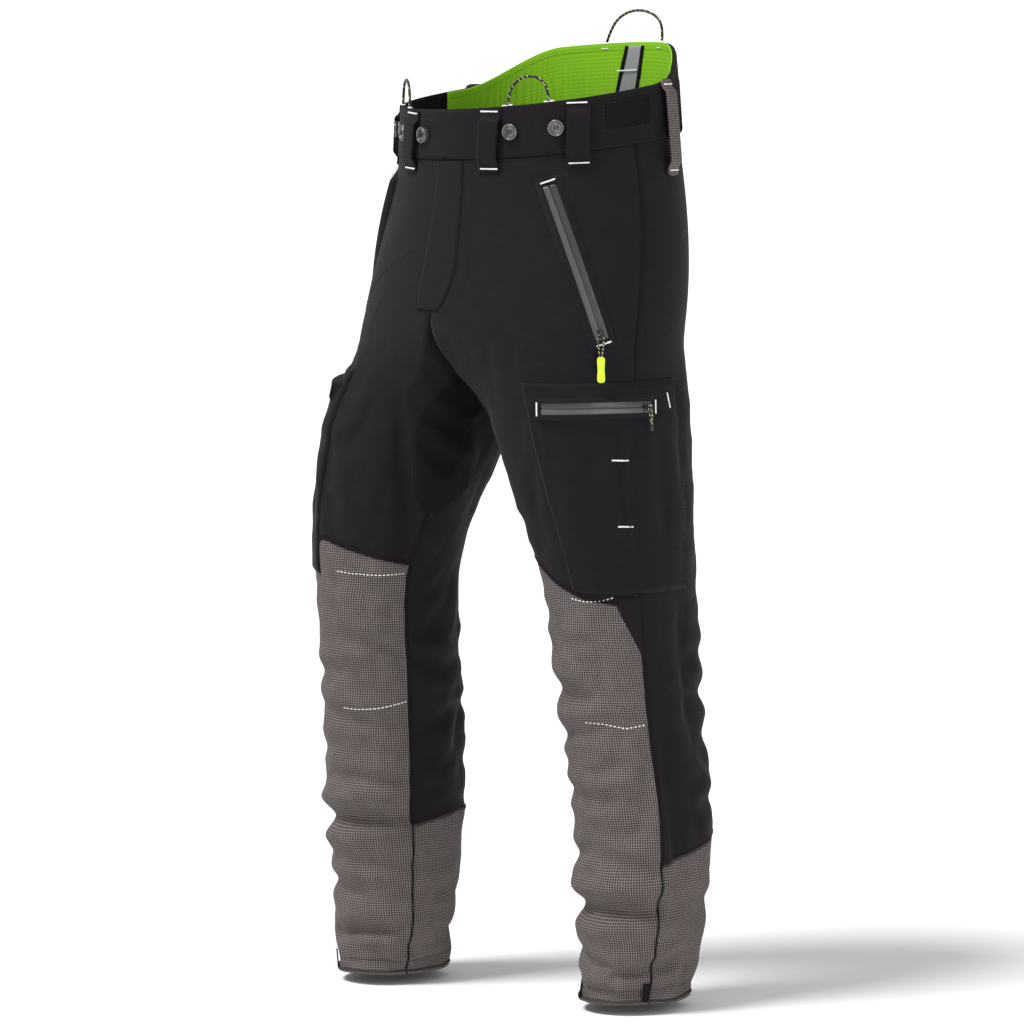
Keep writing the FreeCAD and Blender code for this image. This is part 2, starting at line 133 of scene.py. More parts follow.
def wave(n, value, pitch):
    """0 to 1 and back once in each pitch."""
    part = n.math("FRACT", n.math("DIVIDE", value, pitch))
    return n.math("MULTIPLY", n.math("ABSOLUTE", n.math("SUBTRACT", part, 0.5)), 2.0)


def twill(name, colour, rib=0.0024, strength=0.3, tint=2.3, sheen=0.03):
    """A plain dark cloth with faint ribs across it."""
    material = bpy.data.materials.new(name)
    n = Nodes(material)
    uv, u, v = cloth_uv(n)
    drift = n.math("MULTIPLY", n.noise(uv, 160.0), rib * 0.5)
    ribs = wave(n, n.math("ADD", v, drift), rib)
    threads = wave(n, u, rib * 0.42)
    line = n.math("GREATER_THAN", ribs, 0.72)
    patch = n.noise(uv, 45.0, 4.0)
    shade = n.math("ADD", n.math("MULTIPLY", line, 0.45), n.math("MULTIPLY", patch, 0.55))
    light = rgba(*(c * tint for c in colour))
    dark = rgba(*(c * 0.75 for c in colour))
    height = n.math("ADD", n.math("MULTIPLY", ribs, 0.7), n.math("MULTIPLY", threads, 0.3))
    n.finish(n.mix(shade, dark, light), 0.78, height, strength, sheen=sheen, specular=0.12)
    return material


def grid_weave(name):
    """Pale yarns crossing over dark squares."""
    material = bpy.data.materials.new(name)
    n = Nodes(material)
    uv, u, v = cloth_uv(n)
    wander = n.math("MULTIPLY", n.math("SUBTRACT", n.noise(uv, 90.0), 0.5), 0.0011)
    across = wave(n, n.math("ADD", u, wander), 0.00285)
    along = wave(n, n.math("ADD", v, wander), 0.00285)
    hole = n.math("MULTIPLY", n.math("LESS_THAN", across, 0.60), n.math("LESS_THAN", along, 0.64))
    patch = n.noise(uv, 60.0, 4.0)
    yarn = n.mix(patch, rgba(0.125, 0.104, 0.099), rgba(0.240, 0.204, 0.196))
    fine = n.noise(uv, 1400.0, 1.0)
    yarn = n.mix(n.math("MULTIPLY", fine, 0.35), yarn, rgba(0.08, 0.067, 0.064))
    colour = n.mix(hole, yarn, rgba(0.010, 0.008, 0.010))
    height = n.math("SUBTRACT", 1.0, hole)
    n.finish(colour, 0.82, height, 0.6, 0.0005, sheen=0.02, specular=0.15)
    return material


def plain(name, colour, roughness, grain=0.0, scale=900.0, **constants):
    """A smooth material with a little uneven grain."""
    material = bpy.data.materials.new(name)
    n = Nodes(material)
    place = n.add("TexCoord").outputs["Object"]
    patch = n.noise(place, scale)
    light = rgba(*(min(c * (1 + grain), 1) for c in colour))
    dark = rgba(*(c * (1 - grain) for c in colour))
    n.finish(n.mix(patch, dark, light), roughness, patch, 0.2, 0.0002, **constants)
    return material


def flecked(name, colour, fleck, pitch, thin):
    """Braided cord with slanting flecks of another colour, fewer and smaller as thin nears 1."""
    material = bpy.data.materials.new(name)
    n = Nodes(material)
    place = n.add("TexCoord").outputs["Object"]
    x, y, z = n.add("SeparateXYZ", {0: place}).outputs
    slant = n.math("ADD", n.math("ADD", x, z), n.math("MULTIPLY", y, 0.8))
    braid = wave(n, slant, 0.0016)
    other = wave(n, n.math("SUBTRACT", n.math("SUBTRACT", x, z), y), pitch)
    spot = n.math("MULTIPLY", n.math("GREATER_THAN", wave(n, slant, pitch), thin),
                  n.math("GREATER_THAN", other, 0.35))
    n.finish(n.mix(spot, colour, fleck), 0.7, braid, 0.7, 0.0004, sheen=0.2, specular=0.3)
    return material


BLACK = (0.0066, 0.0052, 0.0067)
shell_cloth = twill("shell_cloth", BLACK)
waist_cloth = twill("waist_cloth", (0.0060, 0.0047, 0.0061), 0.0016, 0.3)
stretch_cloth = twill("stretch_cloth", (0.0045, 0.0038, 0.0052), 0.0013, 0.2, 1.2)
grid_cloth = grid_weave("grid_cloth")
green_lining = twill("green_lining", (0.27, 0.62, 0.022), 0.0026, 0.15, 1.08, 0.0)
white_thread = plain("white_thread", (0.80, 0.80, 0.80), 0.6, 0.06, 2500.0, sheen=0.1)
black_thread = plain("black_thread", (0.013, 0.011, 0.013), 0.5, 0.2, 2500.0, specular=0.25)
green_thread = plain("green_thread", (0.10, 0.24, 0.02), 0.6, 0.1, 2500.0)


# ---- the body's surface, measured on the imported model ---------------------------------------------
def tree_of(names):
    """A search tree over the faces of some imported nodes."""
    points, faces = [], []
    for name in names:
        mesh = NODES[name].data
        base = len(points)
        points += [v.co.copy() for v in mesh.vertices]
        faces += [[base + i for i in p.vertices] for p in mesh.polygons]
    return BVHTree.FromPolygons(points, faces)


def reach(tree, origins, direction):
    """The outermost surface along a direction, seen from a few nearby origins."""
    found = [tree.ray_cast(Vector(o), Vector(direction))[0] for o in origins]
    along = [-float(Vector(direction).dot(p)) for p in found if p is not None]
    return max(along)


def measure_leg(tree, z, cx, cy):
    """The middle and half widths of a leg at one height."""
    for _ in range(3):
        spans = []
        for axis, side in ((0, 1), (0, -1), (1, 1), (1, -1)):
            direction = np.zeros(3)
            direction[axis] = -side
            starts = []
            for shift in (-0.006, 0.003, 0.008):
                start = np.array([cx, cy, z])
                start[axis] += 0.5 * side
                start[1 - axis] += shift
                starts.append(start)
            spans.append(reach(tree, starts, direction))
        cx, cy = (spans[0] - spans[1]) / 2, (spans[2] - spans[3]) / 2
    return [z, cx, cy, (spans[0] + spans[1]) / 2, (spans[2] + spans[3]) / 2]


def tilt(x, y, z):
    """The waist rises from front to back and towards the wearer's left, and less so further down."""
    return (0.1 * (y + 0.137) + 0.045 * x) * np.clip(1 + z / 0.216, 0, None)


def measure_pelvis(tree, z):
    """The half widths, middle and roundness of the hips at one height."""
    def ray(direction, x, y):
        lift = float(tilt(x, y, z))
        side = np.cross(direction, Z)
        starts = [-0.5 * np.array(direction) + side * s + Z * (z + lift) for s in (-0.008, 0.006)]
        return reach(tree, starts, direction)

    front, back = ray((0, 1, 0), 0, -0.137), ray((0, -1, 0), 0, 0.137)
    cy, b = (back - front) / 2, (back + front) / 2
    a = ray((-1, 0, 0), 0.18, cy)
    slant = np.array([-a, b, 0]) / math.hypot(a, b)
    start = np.array([0, cy, z + float(tilt(0.73 * a, cy - 0.73 * b, z))]) - slant * 0.5
    hit = np.array(tree.ray_cast(Vector(start), Vector(slant))[0])
    share = np.linalg.norm((hit - start) - slant * 0.5) / math.hypot(a, b)
    return [z, a, b, cy, math.log(0.5) / math.log(share)]


def clear_of(z, edges):
    """z, moved off the gaps between two panels."""
    for edge in edges:
        if abs(z - edge) < 0.0026:
            z = edge - 0.0026
    return z


PANEL_ENDS = (-0.513, -0.661, -0.7902)
pelvis_tree = tree_of([f"{n}_panel_{s}" for n in ("hip", "seat") for s in SIDES])
PELVIS = np.array([measure_pelvis(pelvis_tree, z) for z in np.linspace(-0.214, -0.005, 34)])
LEG = {}
for side, sign in SIDES.items():
    leg_tree = tree_of([f"{n}_{side}" for n in ("thigh_front", "thigh_back", "knee_front", "knee_back",
                                               "shin_front", "calf_back", "ankle_back")])
    levels = [clear_of(z, PANEL_ENDS) for z in np.linspace(-0.9605, -0.2185, 90)]
    LEG[side] = np.array([measure_leg(leg_tree, z, sign * 0.13, -0.03) for z in levels])


def power(value, n):
    """The superellipse's signed power."""
    return np.sign(value) * np.abs(value) ** (2 / n)


def rows_at(table, z):
    """Every column of a measured table at a height."""
    return [np.interp(z, table[:, 0], table[:, k]) for k in range(1, table.shape[1])]


def body_point(angle, z, off=0.0):
    """On the waist and hips: angle from the front, in degrees, positive on the wearer's left."""
    angle, z = np.broadcast_arrays(np.asarray(angle, float), np.asarray(z, float))
    a, b, cy, n = rows_at(PELVIS, z)
    top = np.clip(z, 0, None)
    a, b = a - top * 0.073, b - top * 0.036
    t = np.radians(angle)
    x, y = (a + off) * power(np.sin(t), n), cy - (b + off) * power(np.cos(t), n)
    return np.stack([x, y, z + tilt(x, y, z)], -1)


def leg_point(side, angle, z, off=0.0):
    """On a leg: angle from the front, in degrees, positive towards the outer side."""
    angle, z = np.broadcast_arrays(np.asarray(angle, float), np.asarray(z, float))
    cx, cy, a, b = rows_at(LEG[side], z)
    t = np.radians(angle)
    x = cx + SIDES[side] * (a + off) * np.sin(t)
    return np.stack([x, cy - (b + off) * np.cos(t), z], -1)


def turned(side, z):
    """How far the leg's seams have turned at a height."""
    return SIDES[side] * 20.0 * np.clip((-0.216 - z) / 0.296, 0, 1)


# ---- the cloth's grid -----------------------------------------------------------------------------
OUTER, INNER = 72, 32  # columns from front middle round the hip to back middle, then through the crotch
RING = OUTER + INNER
SEAM, INSEAM = 36, OUTER + INNER // 2
HIP_ROWS, FORK_ROWS = 27, 18
LEG_ROWS = (25, 25, 23, 24)  # to the knee panel's top, below the knee, the ankle panel's top, the hem
FORK_Z, FORK_END = -0.178, -0.300
HEM_Z = -0.962
KNEE_TOP = {
    "left": ((-90, -0.440), (-29, -0.453), (1, -0.478), (26, -0.494), (76, -0.505), (88, -0.512)),
    "right": ((-90, -0.477), (-40, -0.461), (11, -0.443), (40, -0.462), (62, -0.487), (88, -0.505)),
}
ANKLE_TOP = {
    "left": ((88, -0.799), (150, -0.774), (180, -0.768), (230, -0.776), (270, -0.795)),
    "right": ((88, -0.804), (140, -0.776), (180, -0.766), (220, -0.766), (270, -0.779)),
}


def smooth(t):
    """An even rise from 0 to 1."""
    t = np.clip(t, 0, 1)
    return t * t * (3 - 2 * t)


def spaced(*stops):
    """Angles for (columns, angle) stops, evenly spaced between them."""
    columns, angles = zip(*stops)
    return np.interp(np.arange(columns[-1] + 1), columns, angles)


HIP_ANGLES = spaced((0, 0), (SEAM, 88), (OUTER, 180))
LEG_ANGLES = spaced((0, -40), (SEAM, 88), (OUTER, 220), (INSEAM, 270), (RING, 320))[:-1]


def hip_grid(side):
    """Rows from the waist down to the fork, columns from front middle to back middle."""
    levels = np.linspace(0, FORK_Z, HIP_ROWS + 1)
    return body_point(SIDES[side] * HIP_ANGLES[None, :], levels[:, None])


def crotch_curve():
    """The seam under the fork, from back to front."""
    s = np.linspace(0, 1, INNER + 1)
    back, front = body_point(180, FORK_Z), body_point(0, FORK_Z)
    points = back[None] * (1 - s[:, None]) + front[None] * s[:, None]
    points[:, 0] = 0
    points[:, 2] = FORK_Z + (points[:, 2] - FORK_Z) - 0.056 * (1 - (2 * s - 1) ** 2)
    return points


def edge_height(table, angles):
    """Heights of a panel's edge at each angle."""
    at, height = zip(*table)
    return np.interp(angles, at, height)


def leg_grid(side):
    """Rows from the fork down to the hem, columns round the leg."""
    top = hip_grid(side)[-1]
    ring0 = np.vstack([top, crotch_curve()[1:-1]])
    fork = []
    columns = np.arange(RING)
    inner = np.clip((columns - OUTER) / INNER, 0, 1)
    depth = np.where(columns > OUTER, np.sin(np.pi * inner), 0)
    held = np.interp(columns, [0, SEAM, OUTER], [0, 88, 180])
    for k in range(FORK_ROWS + 1):
        u = k / FORK_ROWS
        z = ring0[:, 2] * (1 - u) + FORK_END * u
        hip = body_point(SIDES[side] * held, np.maximum(FORK_Z * (1 - u) + FORK_END * u, -0.214))
        start = np.where((columns > OUTER)[:, None], ring0, hip)
        end = leg_point(side, LEG_ANGLES - turned(side, FORK_END) * u, np.minimum(z, -0.2186))
        w = (1 - depth) * smooth(u) + depth * (1 - (1 - u) ** 1.6)
        row = start * (1 - w[:, None]) + end * w[:, None]
        row[:, 2] = z
        fork.append(row)
    wrapped = np.where(LEG_ANGLES >= 270, LEG_ANGLES - 360, LEG_ANGLES)
    knee = edge_height(KNEE_TOP[side], wrapped - turned(side, -0.47))
    ends = edge_height(KNEE_TOP[side], np.array([88.0, -90.0]) - turned(side, -0.47))
    knee = np.where(wrapped <= 88, knee, np.interp(LEG_ANGLES, [88, 270], ends))
    ankle = edge_height(ANKLE_TOP[side], LEG_ANGLES)
    ends = edge_height(ANKLE_TOP[side], np.array([270.0, 88.0]))
    ankle = np.where(wrapped > 88, ankle, np.interp(wrapped, [-90, 88], ends))
    keys = [np.full(RING, FORK_END), knee, np.full(RING, -0.640), ankle, np.full(RING, HEM_Z)]
    rows = []
    for (high, low), count in zip(zip(keys, keys[1:]), LEG_ROWS):
        for k in range(1, count + 1):
            z = high + (low - high) * k / count
            rows.append(leg_point(side, LEG_ANGLES - turned(side, z), z))
    return np.array(fork + rows)


KNEE_ROW = FORK_ROWS + LEG_ROWS[0]
BEND_ROW = KNEE_ROW + LEG_ROWS[1]
ANKLE_ROW = BEND_ROW + LEG_ROWS[2]
HEM_ROW = ANKLE_ROW + LEG_ROWS[3]


def soften_fork(legs, hips):
    """Rounds the cloth where the two legs meet."""
    reach_rows = FORK_ROWS + 6
    for _ in range(40):
        new = {}
        for side in SIDES:
            other = "right" if side == "left" else "left"
            p = legs[side]
            above = np.vstack([hips[side][-2], legs[other][1, OUTER + 1:]])
            up = np.concatenate([above[None], p[:-1]])
            down = np.concatenate([p[1:], p[-1:]])
            mean = (up + down + np.roll(p, 1, 1) + np.roll(p, -1, 1)) / 4
            k = np.arange(len(p))[:, None]
            j = np.arange(RING)[None, :]
            near = np.minimum(np.abs(j - (OUTER + INNER / 2)), 200)
            weight = np.clip(1 - (near - INNER / 2) / 9, 0, 1) * np.clip(1 - k / reach_rows, 0, 1)
            weight[0] = 0
            new[side] = p + (mean - p) * 0.5 * weight[..., None]
        legs = new
    return legs


hips = {side: hip_grid(side) for side in SIDES}
legs = soften_fork({side: leg_grid(side) for side in SIDES}, hips)


# ---- joined mesh for the simulation ---------------------------------------------------------------
class Joined:
    """Both sides' grids as one mesh, with a vertex number for every grid point."""

    def __init__(self):
        points = np.concatenate([hips[s].reshape(-1, 3) for s in SIDES] +
                                [legs[s].reshape(-1, 3) for s in SIDES])
        keys = np.round(points, 6)
        _, first, number = np.unique(keys, axis=0, return_index=True, return_inverse=True)
        self.points = points[first]
        number = number.reshape(-1)
        size = (HIP_ROWS + 1) * (OUTER + 1)
        leg_size = (HEM_ROW + 1) * RING
        self.hip, self.leg = {}, {}
        for i, s in enumerate(SIDES):
            self.hip[s] = number[i * size:(i + 1) * size].reshape(HIP_ROWS + 1, OUTER + 1)
            start = 2 * size + i * leg_size
            self.leg[s] = number[start:start + leg_size].reshape(HEM_ROW + 1, RING)
        faces = []
        for s, sign in SIDES.items():
            h, g = self.hip[s], self.leg[s]
            ring = np.hstack([g, g[:, :1]])
            for grid in (h, ring):
                quads = np.stack([grid[:-1, :-1], grid[1:, :-1], grid[1:, 1:], grid[:-1, 1:]], -1)
                quads = quads.reshape(-1, 4)
                faces.append(quads if sign > 0 else quads[:, ::-1])
        self.faces = np.concatenate(faces)


joined = Joined()


def spread_lengths(legs_rest, stretch):
    """The cut cloth: each step down a column is longer by its share of stretch."""
    steps = np.diff(legs_rest, axis=0) * (1 + stretch[1:, :, None])
    return np.concatenate([legs_rest[:1], legs_rest[:1] + np.cumsum(steps, axis=0)])


def bump_at(angle, z, at_angle, at_z, wide, tall):
    """A soft spot on a leg, 1 at its middle."""
    turn = (angle - at_angle + 180) % 360 - 180
    return np.exp(-(turn / wide) ** 2 - ((z - at_z) / tall) ** 2)


# angle, height, lean (m per degree), reach (deg), width (m), depth (m): creases pressed into the cloth
CREASES = {
    "left": (
        (-20, -0.600, -0.00010, 48, 0.012, 0.0075), (10, -0.640, 0.00018, 40, 0.010, 0.0050),
        (-35, -0.655, 0.00025, 30, 0.009, 0.0050), (-5, -0.718, -0.00006, 50, 0.010, 0.0065),
        (20, -0.690, 0.00030, 36, 0.009, 0.0040), (10, -0.845, 0.00004, 66, 0.012, 0.0110),
        (-35, -0.790, 0.00022, 36, 0.010, 0.0060), (40, -0.795, -0.00025, 34, 0.010, 0.0055),
        (170, -0.560, 0.00006, 60, 0.011, 0.0080), (165, -0.610, -0.00010, 60, 0.011, 0.0090),
        (180, -0.655, 0.00010, 60, 0.011, 0.0070), (150, -0.730, 0.00012, 55, 0.012, 0.0060),
        (160, -0.850, -0.00008, 60, 0.012, 0.0070), (110, -0.600, 0.00020, 30, 0.010, 0.0050),
        (-20, -0.905, -0.00020, 44, 0.010, 0.0050), (60, -0.915, 0.00020, 36, 0.010, 0.0050),
        (-60, -0.520, 0.00025, 30, 0.010, 0.0045), (0, -0.545, 0.00010, 40, 0.009, 0.0035),
        (-70, -0.360, 0.00070, 26, 0.010, 0.0040), (-50, -0.420, 0.00050, 30, 0.010, 0.0035),
        (130, -0.300, 0.00020, 40, 0.014, 0.0040), (120, -0.420, -0.00020, 30, 0.012, 0.0035),
    ),
    "right": (
        (0, -0.768, -0.00012, 60, 0.012, 0.0110), (-35, -0.560, 0.00020, 36, 0.010, 0.0050),
        (15, -0.600, -0.00016, 44, 0.010, 0.0050), (-20, -0.650, 0.00012, 48, 0.010, 0.0055),
        (25, -0.690, -0.00022, 36, 0.010, 0.0050), (-30, -0.722, 0.00010, 44, 0.009, 0.0045),
        (-40, -0.820, 0.00018, 40, 0.010, 0.0055), (20, -0.850, 0.00010, 50, 0.011, 0.0060),
        (-15, -0.905, -0.00018, 46, 0.010, 0.0055), (-100, -0.590, 0.00030, 30, 0.012, 0.0080),
        (-110, -0.650, -0.00025, 34, 0.011, 0.0070), (170, -0.580, 0.00008, 56, 0.012, 0.0080),
        (-120, -0.700, 0.00018, 34, 0.011, 0.0055), (175, -0.640, -0.00010, 56, 0.011, 0.0080),
        (170, -0.720, 0.00012, 50, 0.012, 0.0060), (-110, -0.860, 0.00020, 40, 0.011, 0.0060),
        (180, -0.880, -0.00010, 56, 0.012, 0.0060), (-45, -0.500, 0.00030, 30, 0.010, 0.0035),
        (-60, -0.300, 0.00080, 24, 0.011, 0.0050), (-80, -0.350, 0.00070, 26, 0.011, 0.0045),
        (140, -0.320, 0.00020, 40, 0.014, 0.0040), (10, -0.330, -0.00040, 22, 0.012, 0.0030),
    ),
}


def slack(side):
    """Extra length of the leg's cloth at each grid point."""
    p = legs[side]
    angle = np.broadcast_to(LEG_ANGLES[None, :], p.shape[:2])
    z = p[..., 2]
    e = np.full(z.shape, 0.002)
    e += 0.010 * bump_at(angle, z, 180, -0.60, 85, 0.07) + 0.006 * bump_at(angle, z, 0, -0.64, 90, 0.06)
    e += 0.006 * bump_at(angle, z, 0, -0.80, 100, 0.07)
    return e * np.clip(np.arange(len(p))[:, None] / 10, 0.2, 1)


DEEPEST = 0.018


def creased(side):
    """The leg's grid with its creases and a slight unevenness, as the solver's first shape."""
    p = legs[side].copy()
    centre = np.stack([*rows_at(LEG[side], p[..., 2])[:2], p[..., 2]], -1)
    out = p - centre
    out /= np.linalg.norm(out, axis=-1, keepdims=True)
    z = p[..., 2]
    angle = LEG_ANGLES[None, :] - turned(side, z)
    push = np.zeros(z.shape)
    for at, level, lean, span, width, depth in CREASES[side]:
        depth = DEEPEST * (depth / 0.011) ** 1.5 * (0.5 if 100 < at % 360 < 260 else 1)
        width *= 1.2
        turn = (angle - at + 180) % 360 - 180
        line = level + lean * turn
        fade = np.exp(-(turn / span) ** 4)
        d = (z - line) / width
        push += depth * fade * (0.75 * np.exp(-((d - 1.1) ** 2)) - np.exp(-(d ** 2)) +
                                0.55 * np.exp(-((d + 1.3) ** 2)))
    noise = rng.normal(size=push.shape)
    for _ in range(6):
        noise = (noise + np.roll(noise, 1, 1) + np.roll(noise, -1, 1)) / 3
    noise[1:-1] = (noise[:-2] + noise[1:-1] + noise[2:]) / 3
    push += noise / noise.std() * 0.0009
    fade = smooth(np.arange(len(p)) / 14)[:, None] * smooth((z - HEM_Z) / 0.02 + 0.15)
    return p + out * (push * fade)[..., None]


def simulate():
    """Blender's cloth solver on the joined mesh; the grids come back settled."""
    start = joined.points.copy()
    rest = joined.points.copy()
    hold = np.full(len(start), 0.08)
    for side in SIDES:
        start[joined.leg[side]] = creased(side)
        rest_leg = spread_lengths(start[joined.leg[side]], slack(side))
        rest[joined.leg[side][1:]] = rest_leg[1:]
        hold[joined.leg[side][:FORK_ROWS]] = 0.10
        hold[joined.leg[side][:4]] = 0.4
        hold[joined.hip[side]] = 0.30
        hold[joined.hip[side][0]] = 1.0
        hold[joined.leg[side][HEM_ROW]] = 0.5
        z = legs[side][..., 2]
        angle = LEG_ANGLES[None, :] - turned(side, z)
        pocket = (angle > 12) & (angle < 118) & (z < -0.24) & (z > -0.49)
        hold[joined.leg[side][pocket]] = 0.12
        zip_band = (angle > 20) & (angle < 98) & (np.abs(z + 0.275) < 0.02)
        hold[joined.leg[side][zip_band]] = 1.0
    mesh = bpy.data.meshes.new("settling")
    mesh.from_pydata(start.tolist(), [], joined.faces.tolist())
    cloth = bpy.data.objects.new("settling", mesh)
    scene = bpy.context.scene
    scene.collection.objects.link(cloth)
    cloth.shape_key_add(name="Basis")
    key = cloth.shape_key_add(name="cut")
    key.data.foreach_set("co", rest.astype(np.float32).ravel())
    group = cloth.vertex_groups.new(name="hold")
    for value in np.unique(hold):
        group.add(np.flatnonzero(hold == value).tolist(), float(value), "REPLACE")
    modifier = cloth.modifiers.new("cloth", "CLOTH")
    s = modifier.settings
    s.quality = 5
    s.mass = 0.25
    s.air_damping = 3.0
    s.tension_stiffness, s.compression_stiffness = 18.0, 18.0
    s.shear_stiffness, s.bending_stiffness = 3.0, 1.0
    s.effector_weights.gravity = 0.1
    s.tension_damping = s.compression_damping = 12.0
    s.shear_damping = 8.0
    s.bending_damping = 0.6
    s.vertex_group_mass = "hold"
    s.pin_stiffness = 1.4
    s.rest_shape_key = key
    modifier.collision_settings.use_collision = False
    modifier.collision_settings.use_self_collision = False
    modifier.point_cache.frame_start, modifier.point_cache.frame_end = 1, SETTLE_FRAMES
    for number in range(1, SETTLE_FRAMES + 1):
        scene.frame_set(number)
    evaluated = cloth.evaluated_get(bpy.context.evaluated_depsgraph_get())
    settled = np.zeros(len(start) * 3, np.float32)
    evaluated.data.vertices.foreach_get("co", settled)
    settled = settled.reshape(-1, 3).astype(float)
    scene.frame_set(1)
    bpy.data.objects.remove(cloth)
    bpy.data.meshes.remove(mesh)
    moved = settled - joined.points
    far = np.linalg.norm(moved, axis=1, keepdims=True)
    return joined.points + moved * np.minimum(1, MOST_MOVED / np.maximum(far, 1e-9))


SETTLE_FRAMES, MOST_MOVED = 26, 0.016
shape = simulate()


# ---- finer grids ----------------------------------------------------------------------------------
def finer(grid):
    """Cubic subdivision of a grid that has one ghost row and column all round."""
    def once(p):
        even = (p[:-2] + 6 * p[1:-1] + p[2:]) / 8
        odd = (p[1:-2] + p[2:-1]) / 2
        out = np.empty((len(even) + len(odd),) + p.shape[1:])
        out[0::2], out[1::2] = even, odd
        return out
    return once(once(grid).swapaxes(0, 1)).swapaxes(0, 1)


def refine(points):
    """Fine hip and leg grids for each side from the joined mesh's points."""
    hip = {s: points[joined.hip[s]] for s in SIDES}
    leg = {s: points[joined.leg[s]] for s in SIDES}
    fine_hip, fine_leg = {}, {}
    for s in SIDES:
        o = "right" if s == "left" else "left"
        below = leg[s][1, :OUTER + 1]
        tall = np.concatenate([[2 * hip[s][0] - hip[s][1]], hip[s], [below]])
        mate = np.concatenate([[2 * hip[o][0] - hip[o][1]], hip[o], [leg[o][1, :OUTER + 1]]])
        fine_hip[s] = finer(np.concatenate([mate[:, 1:2], tall, mate[:, -2:-1]], axis=1))
        above = np.vstack([hip[s][-2], leg[o][1, OUTER + 1:]])
        under = 2 * leg[s][-1] - leg[s][-2]
        tall = np.concatenate([[above], leg[s], [under]])
        fine_leg[s] = finer(np.concatenate([tall[:, -1:], tall, tall[:, :2]], axis=1))[:, :-1]
    crotch = slice(2 * OUTER + 1, None)
    mean = (fine_leg["left"][0, crotch] + fine_leg["right"][0, crotch]) / 2
    for s in SIDES:
        fine_leg[s][0, crotch] = mean
    for column in (0, 2 * OUTER):
        corner = np.mean([fine_leg[s][0, column] for s in SIDES], axis=0)
        for s in SIDES:
            fine_leg[s][0, column] = corner
    for s in SIDES:
        fine_hip[s][-1] = fine_leg[s][0, :2 * OUTER + 1]
    return fine_hip, fine_leg


def grid_normals(p, closed):
    """Directions square to a grid of points."""
    q = np.concatenate([p[:, -1:], p, p[:, :1]], axis=1) if closed else p
    across = np.gradient(q, axis=1)
    across = across[:, 1:-1] if closed else across
    down = np.gradient(p, axis=0)
    n = np.cross(down, across)
    return n / np.maximum(np.linalg.norm(n, axis=-1, keepdims=True), 1e-12)


FINE_RING = 2 * RING
first_hip, first_leg = refine(joined.points)
hip, leg = refine(shape)
hip_out, leg_out = {}, {}
for side, sign in SIDES.items():
    hip_out[side] = grid_normals(hip[side], False) * sign
    leg_out[side] = grid_normals(leg[side], True) * sign
    hip_out[side][-1] = leg_out[side][0, :2 * OUTER + 1]


# ---- cloth pieces ---------------------------------------------------------------------------------
def add_object(name, points, faces, material, uv=None, flat=False):
    """A mesh object with smooth faces, a material and cloth coordinates."""
    mesh = bpy.data.meshes.new(name)
    mesh.from_pydata(np.asarray(points).tolist(), [], [list(map(int, f)) for f in faces])
    if uv is not None:
        layer = mesh.uv_layers.new(name="cloth")
        corner = np.zeros(len(mesh.loops), int)
        mesh.loops.foreach_get("vertex_index", corner)
        layer.data.foreach_set("uv", np.asarray(uv)[corner].astype(np.float32).ravel())
    mesh.materials.append(material)
    mesh.polygons.foreach_set("use_smooth", [not flat] * len(mesh.polygons))
    mesh.update()
    made = bpy.data.objects.new(name, mesh)
    bpy.context.scene.collection.objects.link(made)
    return made


def quads_of(h, w, start=0, flip=False):
    """The faces of a grid of points."""
    grid = start + np.arange(h * w).reshape(h, w)
    q = np.stack([grid[:-1, :-1], grid[1:, :-1], grid[1:, 1:], grid[:-1, 1:]], -1).reshape(-1, 4)
    return q[:, ::-1] if flip else q


def cloth_solid(patches, thick, flip=False):
    """Points, faces and cloth coordinates of a closed sheet made of grid patches (points, outward, uv)."""
    points = np.concatenate([p.reshape(-1, 3) for p, _, _ in patches])
    out = np.concatenate([n.reshape(-1, 3) for _, n, _ in patches])
    uv = np.concatenate([c.reshape(-1, 2) for _, _, c in patches])
    faces, start = [], 0
    for p, _, _ in patches:
        faces.append(quads_of(*p.shape[:2], start, flip))
        start += p.shape[0] * p.shape[1]
    faces = np.concatenate(faces)
    _, first, number = np.unique(np.round(points, 7), axis=0, return_index=True, return_inverse=True)
    points, out, uv = points[first], out[first], uv[first]
    faces = number.reshape(-1)[faces]
    edges = np.concatenate([faces[:, [k, (k + 1) % 4]] for k in range(4)])
    forward = {(int(a), int(b)) for a, b in edges}
    rim = [(a, b) for a, b in forward if (b, a) not in forward]
    count = len(points)
    walls = [(b, a, a + count, b + count) for a, b in sorted(rim)]
    solid = [list(f) for f in faces] + [list(f[::-1] + count) for f in faces] + walls
    return np.concatenate([points, points - out * thick]), solid, np.concatenate([uv, uv])


def row_lengths(p, centre):
    """Level distance along each row from a centre column."""
    steps = np.linalg.norm(np.diff(p[..., :2], axis=1), axis=-1)
    total = np.concatenate([np.zeros((len(p), 1)), np.cumsum(steps, axis=1)], axis=1)
    return total - total[:, centre:centre + 1]


FRONT = np.r_[2 * INSEAM:FINE_RING, 0:2 * SEAM + 1]
BACK = np.arange(2 * SEAM, 2 * INSEAM + 1)
FRONT_CENTRE, BACK_CENTRE = 22, 122


def leg_patch(side, columns, top, low, centre):
    """A block of the leg's fine grid, with its cloth coordinates taken from the unfolded shape."""
    rows = slice(top, low + 1)
    flat = first_leg[side][rows][:, columns]
    u = row_lengths(flat, int(np.flatnonzero(columns == centre)[0]))
    return leg[side][rows][:, columns], leg_out[side][rows][:, columns], np.stack([u, -flat[..., 2]], -1)


def hip_patch(side, low, high, centre):
    """A block of the hips' fine grid, with its cloth coordinates."""
    flat = first_hip[side][:, low:high + 1]
    u = row_lengths(flat, centre - low)
    return hip[side][:, low:high + 1], hip_out[side][:, low:high + 1], np.stack([u, -flat[..., 2]], -1)


